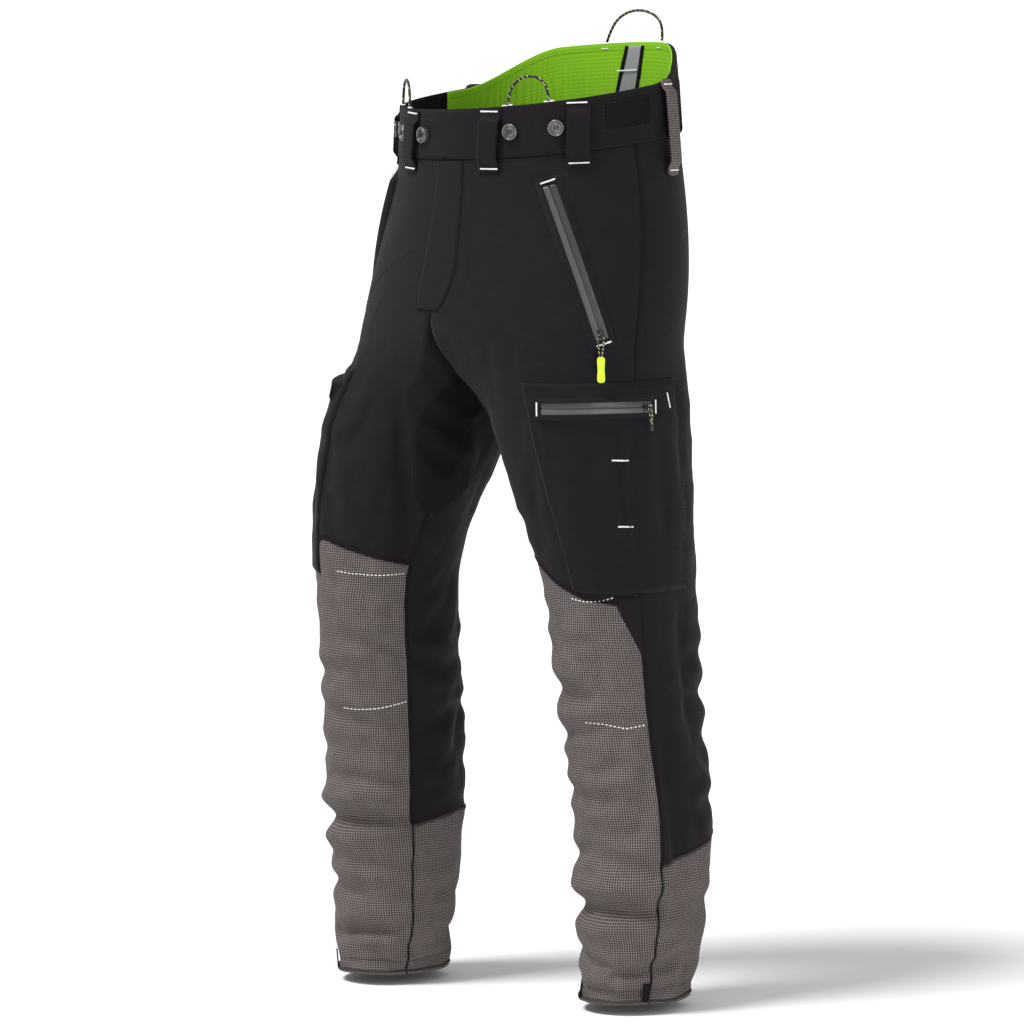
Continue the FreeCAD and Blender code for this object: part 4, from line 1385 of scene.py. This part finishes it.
def band(name, start, end, material, ruffle=0.0, outer=0.0012, inner=-0.0032, low=-0.001,
         top_gap=0.0, cut=0.0):
    """A band round the waist. The foot of its first edge may be cut back by some degrees."""
    count = int(abs(end - start) * 1.6)
    angles = np.linspace(start, end, count)
    heights = np.linspace(0, 1, 26)
    profile, rise = rolled(angles, heights, outer, inner)
    share = np.array([p[0] for p in profile])
    off = np.array([p[1] for p in profile])
    top = back_height(angles) - 0.0016 - top_gap
    z = low + (top - low)[:, None] * share[None, :] + np.array(rise)[None, :]
    around = angles[:, None]
    pucker = 0.00025 * np.sin(around * 2.1 + 2 * np.sin(around * 0.37)) * np.sin(np.pi * share)
    waves = np.sin(around * 4.4 + 1.5 * np.sin(share * 9.0)) * np.sin(np.pi * np.clip(share, 0.03, 0.97))
    rows = 0.5 + 0.5 * np.abs(np.sin(np.pi * share * 4))
    offset = off[None, :] + pucker + ruffle * waves * rows
    slanted = angles[:, None] - cut * (1 - share)[None, :] * np.clip(1 - (angles - start) / 40, 0, 1)[:, None]
    sections = body_point(slanted, z, offset)
    points, faces = loft(sections)
    arc = np.concatenate([[0], np.cumsum(np.linalg.norm(np.diff(sections[:, 12], axis=0), axis=1))])
    uv = np.stack(np.broadcast_arrays(arc[:, None], share[None, :] * 0.055), -1).reshape(-1, 2)
    return add_object(name, points, faces, material, uv)


def on_body(angles, z, off):
    """A line on the waist or hips with its outward directions."""
    here = body_point(angles, z, off)
    around = body_point(np.asarray(angles) + 0.5, z, off) - body_point(np.asarray(angles) - 0.5, z, off)
    out = unit(np.stack([around[..., 1], -around[..., 0], np.zeros(around.shape[:-1])], -1))
    return here, out


def root_piece(name, parts, material, slot=None, *nodes):
    made = add_object(name, *joined_mesh(parts), material)
    if nodes:
        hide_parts(*nodes)
    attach(made, "root")
    return made


def waistband():
    """The band's front halves and elastic back, the green lining, and their stitching."""
    for side, sign in SIDES.items():
        made = band(f"waistband_{side}_cloth", *sorted((sign * 0.3, sign * 109.0)), waist_cloth)
        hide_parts(f"waistband_{side}")
        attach(made, "root")
    made = band("waistband_back_cloth", 107.5, 252.5, waist_cloth,
                ruffle=0.0019, outer=0.0017, top_gap=0.0022)
    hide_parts("waistband_back")
    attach(made, "root")
    made = band("waist_lining", LINING_START, LINING_END, green_lining, outer=-0.0033, inner=-0.0048,
                low=0.001, top_gap=-0.0006, cut=15.0)
    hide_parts("back_lining")
    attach(made, "root")
    lines = []
    for start, end in ((-108, -1), (1, 108)):
        angles = np.linspace(start, end, 240)
        for z, off in ((0.0025, 0.0014), (-0.0035, 0.0009), (0.0505, 0.0014)):
            lines.append(stitch_line(*on_body(angles, z, off)))
    angles = np.linspace(110, 250, 320)
    for share in (0.06, 0.27, 0.5, 0.73, 0.94):
        lines.append(stitch_line(*on_body(angles, back_height(angles) * share, 0.0020)))
    root_piece("waistband_threads", lines, black_thread)
    angles = np.linspace(LINING_START + 1, LINING_END - 1, 420)
    here, out = on_body(angles, back_height(angles) - 0.0075, -0.0050)
    root_piece("lining_threads", [stitch_line(here, -out, length=0.0028)], green_thread)
    share = np.linspace(0.06, 0.96, 40)
    z = float(back_height(LINING_START)) * share
    here, out = on_body(LINING_START + 0.8 - 15.0 * (1 - share), z, -0.0050)
    root_piece("lining_edge_threads", [stitch_line(here, -out, width=0.0010)], white_thread)


def webbing_stripe():
    """Reflective webbing inside the back, leaning as it rises, between black bound edges."""
    z = np.linspace(0.003, 0.083, 34)
    lean = 182 - 9 * z / BACK_TOP
    for name, spans, off, material, nodes in (
            ("back_stripe_web", ((-4.1, 4.1),), -0.0058, reflective, ("back_stripe",)),
            ("back_stripe_edges", ((-5.4, -3.8), (3.8, 5.4)), -0.0062, shell_edge, ())):
        parts = []
        for low, high in spans:
            share = np.linspace(low, high, 9)
            front = body_point(lean[:, None] + share, z[:, None], off)
            back = body_point(lean[:, None] + share, z[:, None], -0.0045)
            sections = np.concatenate([front, back[:, ::-1]], axis=1)
            parts.append(loft(sections))
        root_piece(name, parts, material, "reflective_tape" if nodes else None, *nodes)
    ends = [body_point(a, z, -0.0068) for a, z in ((172.5, 0.058), (182.5, 0.0575))]
    tack_off(*ends, (0, -1, 0), 0.0018, 0.0007)


class Upright:
    """A frame on the waist: X up the cloth from one height to another, Y round the body, Z out."""

    def __init__(self, angle, low, top, off=0.0013):
        foot, head = body_point(angle, low, off), body_point(angle, top, off)
        _, out = on_body(np.array([angle]), np.array([low]), off)
        self.length = float(np.linalg.norm(head - foot))
        self.x = unit(head - foot)
        self.y = unit(np.cross(out[0], self.x))
        self.z = np.cross(self.x, self.y)
        self.foot = foot

    def at(self, x, y, z):
        x, y, z = np.broadcast_arrays(*(np.asarray(v, float) for v in (x, y, z)))
        return self.foot + x[..., None] * self.x + y[..., None] * self.y + z[..., None] * self.z


def strap_piece(frame_on, width, lift, thick, corner=0.0, slant=0.0):
    """A sewn loop: its closed sections along its length, and the middle line of its outer face."""
    long = frame_on.length
    stops = np.array([0.0, 0.009, 0.0115, 0.014, long - 0.014, long - 0.0115, long - 0.009, long])
    rise = np.array([0.0, 0.0, 0.35, 1.0, 1.0, 0.35, 0.0, 0.0]) * lift
    x = np.linspace(0, long, 64)
    z = np.interp(x, stops, rise)
    for _ in range(3):
        z[1:-1] = (z[:-2] + 2 * z[1:-1] + z[2:]) / 4
    half = np.full(64, width / 2)
    if corner:
        ends = np.minimum(x, long - x)
        inside = corner ** 2 - np.clip(corner - ends, 0, corner) ** 2
        half = width / 2 - corner + np.sqrt(np.clip(inside, 0, None))
    share = np.linspace(-1, 1, 15)
    edge = thick * (1 - 0.35 * np.abs(share) ** 6)
    puff = 0.0004 * (1 - share ** 2)
    y = half[:, None] * share + slant * (x / long - 0.5)[:, None]
    top = frame_on.at(x[:, None], y, z[:, None] + edge + puff)
    low = frame_on.at(x[:, None], y, z[:, None] + 0.0 * share)
    sections = np.concatenate([top, low[:, ::-1]], axis=1)
    points, faces = loft(sections)
    u = np.concatenate([y, y[:, ::-1]], axis=1)
    uv = np.stack([u, np.broadcast_to(x[:, None], u.shape)], -1).reshape(-1, 2)
    return points, faces, uv, top


def belt_loops():
    """Sewn loops round the band, and a webbing gear loop on each hip."""
    groups = {"belt_loops": [], "gear_loops": []}
    maps, threads = {"belt_loops": [], "gear_loops": []}, []
    for sign in (1, -1):
        for t in (20.5, 59.5, 150.0):
            top_z = BAND_TOP - 0.001 if t < 100 else BAND_TOP + 0.006
            on = Upright(sign * t, -0.016, top_z)
            p, f, uv, top = strap_piece(on, 0.027, 0.0056, 0.0018, slant=-0.005)
            groups["belt_loops"].append((p, f))
            maps["belt_loops"].append(uv)
            out = np.broadcast_to(on.z, top[:, 2].shape)
            threads += [stitch_line(top[:, k] + out * 0.0001, out) for k in (1, -2)]
            for x in (0.0035, on.length - 0.0030):
                ends = [on.at(x, y, 0.0020) for y in (-0.0118, 0.0118)]
                tack_off(*ends, on.z)
        on = Upright(sign * 108.0, -0.040, 0.058)
        p, f, uv, top = strap_piece(on, 0.025, 0.0056, 0.0024, corner=0.006)
        groups["gear_loops"].append((p, f))
        maps["gear_loops"].append(uv)
        for x in (0.006, on.length - 0.006):
            ends = [on.at(x, y, 0.0026) for y in (-0.0095, 0.0095)]
            tack_off(*ends, on.z)
    for name, material, slot in (("belt_loops", waist_cloth, "waist_cloth"),
                                 ("gear_loops", grid_cloth, "grey_webbing")):
        points, faces = joined_mesh(groups[name])
        made = add_object(f"{name}_cloth", points, faces, material, np.concatenate(maps[name]))
        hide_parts(name)
        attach(made, "root")
    root_piece("belt_loop_threads", threads, black_thread)


def hook_strips():
    """Hook tape on the waistband's sides: a field of short hooks inside a glossy sewn border."""
    field, lines = [], []
    for sign in (1, -1):
        angles = np.linspace(*sorted((sign * 71.0, sign * 96.0)), 150)
        z = np.linspace(0.015, 0.047, 64)
        inner = (np.abs(angles - angles.mean()) < 11.3)[None, :] & (np.abs(z - z.mean()) < 0.0135)[:, None]
        hooks = rng.uniform(0.2, 1.0, (64, 150)) * inner
        top = body_point(angles[None, :], z[:, None], 0.0016 + 0.0009 * hooks)
        low = body_point(angles[None, :], z[:, None], 0.0010)
        sections = np.concatenate([top, low[:, ::-1]], axis=1)
        field.append(loft(sections))
        for edge in (0.0165, 0.0455):
            lines.append(stitch_line(*on_body(angles[4:-4], edge, 0.0019), width=0.0009))
        for a in (angles[4], angles[-5]):
            heights = np.linspace(0.0165, 0.0455, 30)
            lines.append(stitch_line(*on_body(np.full(30, a), heights, 0.0019), width=0.0009))
    root_piece("hook_tape", field, hook_tape, "hook_tape", "hook_strips")
    root_piece("hook_tape_threads", lines, gloss_thread)


def closure():
    """The tab that laps over the front."""
    angles = np.linspace(-14.0, 17.0, 84)
    z = np.linspace(0, 1, 24)
    sunk = 0.0024 * smooth((angles + 1.0) / 17.0)[None, :]
    corner = np.clip((angles + 14.0) / 1.6, 0, 1)
    inset = 0.004 * (1 - np.sqrt(1 - (1 - corner) ** 2))
    low, high = 0.0015 + inset, 0.0540 - inset
    height = low[None, :] + (high - low)[None, :] * z[:, None]
    soft = 0.6 + 0.4 * smooth(np.minimum(z, 1 - z) * 14)[:, None] * smooth((angles + 14.0) / 0.8)[None, :]
    top = body_point(angles[None, :], height, 0.0036 * soft - sunk)
    under = body_point(angles[None, :], height, 0.0013 - sunk * 0.3)
    sections = np.concatenate([top, under[:, ::-1]], axis=1)
    points, faces = loft(sections)
    u = np.concatenate([angles, angles[::-1]]) * 0.0030
    uv = np.stack(np.broadcast_arrays(u[None, :], z[:, None] * 0.053), -1).reshape(-1, 2)
    made = add_object("closure_tab_cloth", points, faces, waist_cloth, uv)
    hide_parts("closure_tab")
    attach(made, "root")
    lines = []
    for z0 in (0.0045, 0.0510):
        lines.append(stitch_line(*on_body(np.linspace(-13, -1, 60), z0, 0.0038)))
    lines.append(stitch_line(*on_body(np.full(40, -13.1), np.linspace(0.0045, 0.0510, 40), 0.0037)))
    root_piece("closure_threads", lines, black_thread)


def lathe(origin, x, y, z, profile, count=40):
    turn = np.linspace(0, 2 * np.pi, count, endpoint=False)
    ring = np.cos(turn)[:, None] * x + np.sin(turn)[:, None] * y
    points = np.array([origin + ring * r + z * h for r, h in profile]).reshape(-1, 3)
    n = len(profile)
    faces = [(i * count + k, i * count + (k + 1) % count, ((i + 1) % n) * count + (k + 1) % count,
              ((i + 1) % n) * count + k) for i in range(n) for k in range(count)]
    return points, faces


def buttons():
    """Raised double rims on the four-hole buttons, and the thread through their holes."""
    rims, threads = [], []
    for angle, off in [(s * t, 0.0008) for t in (30.0, 50.0, 165.0) for s in (1, -1)] + [(-10.6, 0.0039)]:
        here, out = on_body(np.array([angle]), np.array([0.027]), off)
        here, z = here[0], out[0]
        x = unit(body_point(angle + 1, 0.027) - body_point(angle - 1, 0.027))
        x = unit(x - z * (x @ z))
        y = np.cross(z, x)
        for r, top, w in ((0.0085, 0.0056, 0.0008), (0.0061, 0.0053, 0.0005)):
            profile = [(r - w, top - 0.0012), (r - w * 0.7, top - 0.0004),
                       (r, top), (r + w * 0.7, top - 0.0004),
                       (r + w, top - 0.0012), (r, top - 0.0014)]
            rims.append(lathe(here, x, y, z, profile))
        for s in (1, -1):
            line = np.array([here + (x * s * 0.0017 + y * t) + z * (0.0042 - 0.0006 * (abs(t) > 0.0014))
                             for t in np.linspace(-0.0019, 0.0019, 9)])
            threads.append(welt(line, np.broadcast_to(z, line.shape), 0.0010, 0.0006))
    made = add_object("button_rims", *joined_mesh(rims), button_metal)
    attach(made, "root")
    for angle in (165.0, -165.0):
        across, up = angle + np.linspace(-0.5, 0.5, 5), np.linspace(0.024, 0.031, 5)
        here, out = on_body(across, up, -0.0049)
        threads.append(welt(here, -out, 0.0022, 0.0009))
    root_piece("button_threads", threads, black_thread)


def spline_cord(name, route, radius, material):
    data = bpy.data.curves.new(name, "CURVE")
    data.dimensions = "3D"
    line = data.splines.new("NURBS")
    line.points.add(len(route) - 1)
    for point, at in zip(line.points, route):
        point.co = (*map(float, at), 1.0)
    line.order_u = 3
    line.use_endpoint_u = True
    line.resolution_u = 12
    data.bevel_depth = radius
    data.bevel_resolution = 5
    data.use_fill_caps = True
    data.materials.append(material)
    made = bpy.data.objects.new(name, data)
    bpy.context.scene.collection.objects.link(made)
    return made


LOOP_TURNS = ((0, 0), (0.04, 0.52), (0.22, 0.93), (0.5, 1.06), (0.78, 0.93), (0.96, 0.52), (1, 0))
BACK_TURNS = ((0, 0), (-0.02, 0.5), (0.13, 0.88), (0.43, 1.06), (0.72, 0.9), (0.91, 0.5), (1, 0))
HAND_PULL = ((1.3, 26), (2.2, 18), (3.4, 9), (2.9, 0), (-2.9, 0), (-3.4, 9), (-2.2, 18), (-1.3, 26))
CARGO_PULL = ((19, 1.3), (10.5, 0.4), (2.5, -2.5), (-2.5, -2.4),
              (-2.5, 2.5), (2.5, 3.0), (10.5, 4.2), (19, 3.0))
MM = 0.001


LOOP_THICK, PULL_THICK = 0.0034, 0.0016


def cord_loops():
    """Flecked cord loops sewn into the top edge, two in front and one behind."""
    feet = {
        "left": (body_point(28, 0.0556, -0.0016), body_point(47, 0.0556, -0.0016)),
        "right": (body_point(-28, 0.0556, -0.0016), body_point(-47, 0.0556, -0.0016)),
        "back": (body_point(156, 0.0878, -0.0008), body_point(189, 0.0878, -0.0008)),
    }
    for name, (a, b) in feet.items():
        rise, turns = (0.035, BACK_TURNS) if name == "back" else (0.030, LOOP_TURNS)
        route = [a + (b - a) * s + Z * rise * h for s, h in turns]
        made = spline_cord(f"{name}_cord_loop", route, LOOP_THICK / 2, loop_cord)
        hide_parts(f"cord_loop_{name}")
        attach(made, "root")
        if name == "back":
            continue
        around = unit(b - a)
        for foot in (a, b):
            middle, half = foot + Z * 0.0004, around * 0.006
            tack_off(middle - half, middle + half, Z, 0.0040, 0.0012)


def zip_pulls():
    """A cord through each slider, and a moulded tab on the hand pockets' pulls."""
    for side in SIDES:
        for kind in ("hand", "cargo"):
            joint = JOINTS[f"{kind}_pull_swing_{side}"]
            at, axis = np.array(joint["pos_m"]), unit(joint["axis"])
            out = ARCS[kind, side].out_at(at)
            if kind == "hand":
                across, hang = -axis, unit(np.cross(-axis, out))
                route = [at + (across * y + hang * x) * MM for y, x in HAND_PULL]
            else:
                hang = unit(np.cross(out, axis))
                route = [at + (hang * x + out * z) * MM for x, z in CARGO_PULL]
            made = spline_cord(f"{kind}_pull_{side}", route, PULL_THICK / 2, pull_cord)
            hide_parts(f"{kind}_pull_cord_{side}")
            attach(made, joint["child"])
            if kind == "hand":
                middle = at + hang * (26.2 + 14.5) * MM + out * 1.1 * MM
                pull_tab(side, middle, hang, across, out, joint["child"])


def pull_tab(side, middle, hang, across, out, body):
    """A moulded rubber tab, rounded all over, with a waist and grip ribs."""
    share = np.linspace(-1, 1, 45)
    x = share * 0.0145
    ends = np.sqrt(np.clip(1 - np.clip((np.abs(share) - 0.80) / 0.20, 0, 1) ** 2, 0.03, 1))
    half = (0.0045 - 0.0005 * np.cos(share * 2.2) ** 2) * (0.35 + 0.65 * ends)
    ribs = 0.00022 * np.cos(x * 2 * np.pi / 0.0028) * (np.abs(share) < 0.55)
    thick = (0.00185 + ribs) * (0.45 + 0.55 * ends)
    turn = np.linspace(0, 2 * np.pi, 28, endpoint=False)
    c, s = np.cos(turn), np.sin(turn)
    y = half[:, None] * np.sign(c) * np.abs(c) ** 0.45
    z = thick[:, None] * np.sign(s) * np.abs(s) ** 0.55
    sections = middle + x[:, None, None] * hang + y[..., None] * across + z[..., None] * out
    made = add_object(f"pull_tab_{side}", *loft(sections), neon_rubber)
    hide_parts(f"hand_pull_tab_{side}")
    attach(made, body)


def saw_pads():
    """Layers of cut-stopping fibre that lie inside the front of each leg, following its folds."""
    for side, sign in SIDES.items():
        columns = np.r_[2 * (RING - 13):FINE_RING, 0:2 * SEAM + 1]
        rows = np.arange(2 * 9, 2 * HEM_ROW - 22)
        outer = leg[side][rows][:, columns] - leg_out[side][rows][:, columns] * 0.0034
        inner = leg[side][rows][:, columns] - leg_out[side][rows][:, columns] * 0.0070
        quilt = 0.0006 * np.sin(np.arange(len(rows)) * 0.9)[:, None, None]
        outer = outer - leg_out[side][rows][:, columns] * np.abs(quilt)
        h, w = outer.shape[:2]
        n = h * w
        faces = [list(f) for f in quads_of(h, w, 0, sign < 0)]
        faces += [list(f[::-1] + n) for f in quads_of(h, w, 0, sign < 0)]
        grid = np.arange(n).reshape(h, w)
        border = np.concatenate([grid[0, :-1], grid[:-1, -1], grid[-1, :0:-1], grid[:0:-1, 0]])
        for a, b in zip(border, np.roll(border, -1)):
            faces.append([b, a, a + n, b + n] if sign < 0 else [a, b, b + n, a + n])
        points = np.concatenate([outer.reshape(-1, 3), inner.reshape(-1, 3)])
        made = add_object(f"saw_pad_{side}", points, faces, saw_fibre)
        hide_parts(*(f"saw_pad_{n}_{side}" for n in ("thigh", "knee", "shin")))
        bend_at_knee(made)


def hem_tapes():
    """Short black tapes sewn over the hem at the front and side of each leg."""
    for side in SIDES:
        tapes = []
        for t in (0.0, 84.0):
            turn = t - turned(side, HEM_Z)
            on = [leg_point(side, turn, z, 0.0015) for z in (-0.935, -0.958)]
            place, out = ground.lay(np.array(on))
            share = np.linspace(0, 1, 14)[:, None]
            line = place[0] * (1 - share) + place[1] * share + out[0] * 0.001
            tapes.append(welt(line, np.broadcast_to(out[0], line.shape), 0.008, 0.0014))
        made = add_object(f"hem_tapes_{side}", *joined_mesh(tapes), shell_edge)
        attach(made, f"shin_{side}")


def dress_cad():
    """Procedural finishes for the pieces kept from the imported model."""
    finishes = {
        button_metal: ["waist_buttons"],
        slider_metal: [f"{k}_slider_{s}" for k in ("hand", "cargo") for s in SIDES] + ["fly_slider"],
        fly_tape: ["fly_zip"],
        black_rubber: [f"cargo_pull_end_{s}" for s in SIDES],
        lining_cloth: ["hand_pocket_bags"],
    }
    for material, names in finishes.items():
        for name in names:
            NODES[name].data.materials.clear()
            NODES[name].data.materials.append(material)


def white_tacks():
    """The lining's short tacks under the back loop's feet, then every bar tack as one piece a body."""
    for a, b in ((154.4, 157.8), (187.2, 190.6)):
        z = float(back_height(155)) - 0.006
        start, out = on_body(np.array([a]), np.array([z]), -0.0050)
        end, _ = on_body(np.array([b]), np.array([z]), -0.0050)
        tack_off(start[0], end[0], -out[0], 0.0013, 0.0006)
    for body, parts in tacks.items():
        made = add_object(f"bar_tacks_{body}", *joined_mesh(parts), white_thread)
        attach(made, body)


reflective = plain("reflective_web", (0.33, 0.33, 0.34), 0.45, 0.15, 1800.0, metal=0.25)
hook_tape = plain("hook_field", (0.0040, 0.0038, 0.0042), 0.6, 0.7, 2600.0, specular=0.12)
gloss_thread = plain("gloss_thread", (0.022, 0.022, 0.024), 0.3, 0.1, 2500.0, specular=0.5)
button_metal = plain("button_gunmetal", (0.21, 0.205, 0.215), 0.30, 0.12, 900.0, metal=0.85)
slider_metal = plain("slider_lacquer", (0.018, 0.018, 0.019), 0.32, 0.2, 900.0, metal=0.2, specular=0.5)
fly_tape = plain("fly_zip_black", (0.012, 0.012, 0.013), 0.6, 0.2, 1500.0)
black_rubber = plain("cap_rubber", (0.014, 0.014, 0.014), 0.5, 0.15, 1500.0)
neon_rubber = plain("neon_rubber", (0.62, 0.86, 0.02), 0.42, 0.05, 1200.0, specular=0.5)
saw_fibre = plain("saw_fibre_felt", (0.62, 0.60, 0.52), 0.9, 0.12, 1500.0, sheen=0.3)
lining_cloth = plain("lining_black", (0.012, 0.012, 0.013), 0.85, 0.2, 1500.0)
loop_cord = flecked("loop_cord_flecked", rgba(0.014, 0.013, 0.014), rgba(0.62, 0.66, 0.25), 0.0085, 0.86)
pull_cord = flecked("pull_cord_flecked", rgba(0.016, 0.015, 0.016), rgba(0.55, 0.60, 0.25), 0.0045, 0.66)

waistband()
webbing_stripe()
belt_loops()
hook_strips()
closure()
buttons()
cord_loops()
zip_pulls()
saw_pads()
hem_tapes()
dress_cad()
white_tacks()


# ---- light and floor ------------------------------------------------------------------------------
def area_light(name, at, size, power_w, aim=(0, 0, -0.45), colour=(1, 1, 1)):
    """A soft rectangular lamp aimed at the trousers."""
    data = bpy.data.lights.new(name, "AREA")
    data.shape, data.size, data.size_y = "RECTANGLE", size[0], size[1]
    data.energy, data.color = power_w, colour
    lamp = bpy.data.objects.new(name, data)
    lamp.location = at
    lamp.rotation_mode = "QUATERNION"
    lamp.rotation_quaternion = (Vector(aim) - Vector(at)).to_track_quat("-Z", "Y")
    bpy.context.scene.collection.objects.link(lamp)


def sun(name, toward, strength, angle):
    """A far, soft lamp."""
    data = bpy.data.lights.new(name, "SUN")
    data.energy, data.angle = strength, math.radians(angle)
    lamp = bpy.data.objects.new(name, data)
    lamp.rotation_mode = "QUATERNION"
    lamp.rotation_quaternion = (-Vector(toward)).to_track_quat("-Z", "Y")
    bpy.context.scene.collection.objects.link(lamp)


def studio():
    """A plain pale floor, an even sky, a key light from above and a weak side lamp."""
    floor_paint = bpy.data.materials.new("floor_paint")
    n = Nodes(floor_paint)
    n.finish(rgba(0.93, 0.93, 0.93), 0.8)
    far, level = 60.0, HEM_Z - 0.013
    corners = [(x * far, y * far, level) for x, y in ((-1, -1), (1, -1), (1, 1), (-1, 1))]
    add_object("floor", corners, [(0, 1, 2, 3)], floor_paint)
    world = bpy.data.worlds.new("studio")
    bpy.context.scene.world = world
    n = Nodes(world)
    sky = n.add("Background", {"Color": rgba(1, 1, 1), "Strength": 0.55})
    n.add("OutputWorld", {"Surface": sky.outputs[0]})
    sun("key", (-0.25, -0.9, 1.7), 3.1, 18)
    area_light("side", (3.6, -0.4, 0.3), (1.4, 2.4), 26)


studio()
bpy.context.scene.view_settings.view_transform = "Standard"
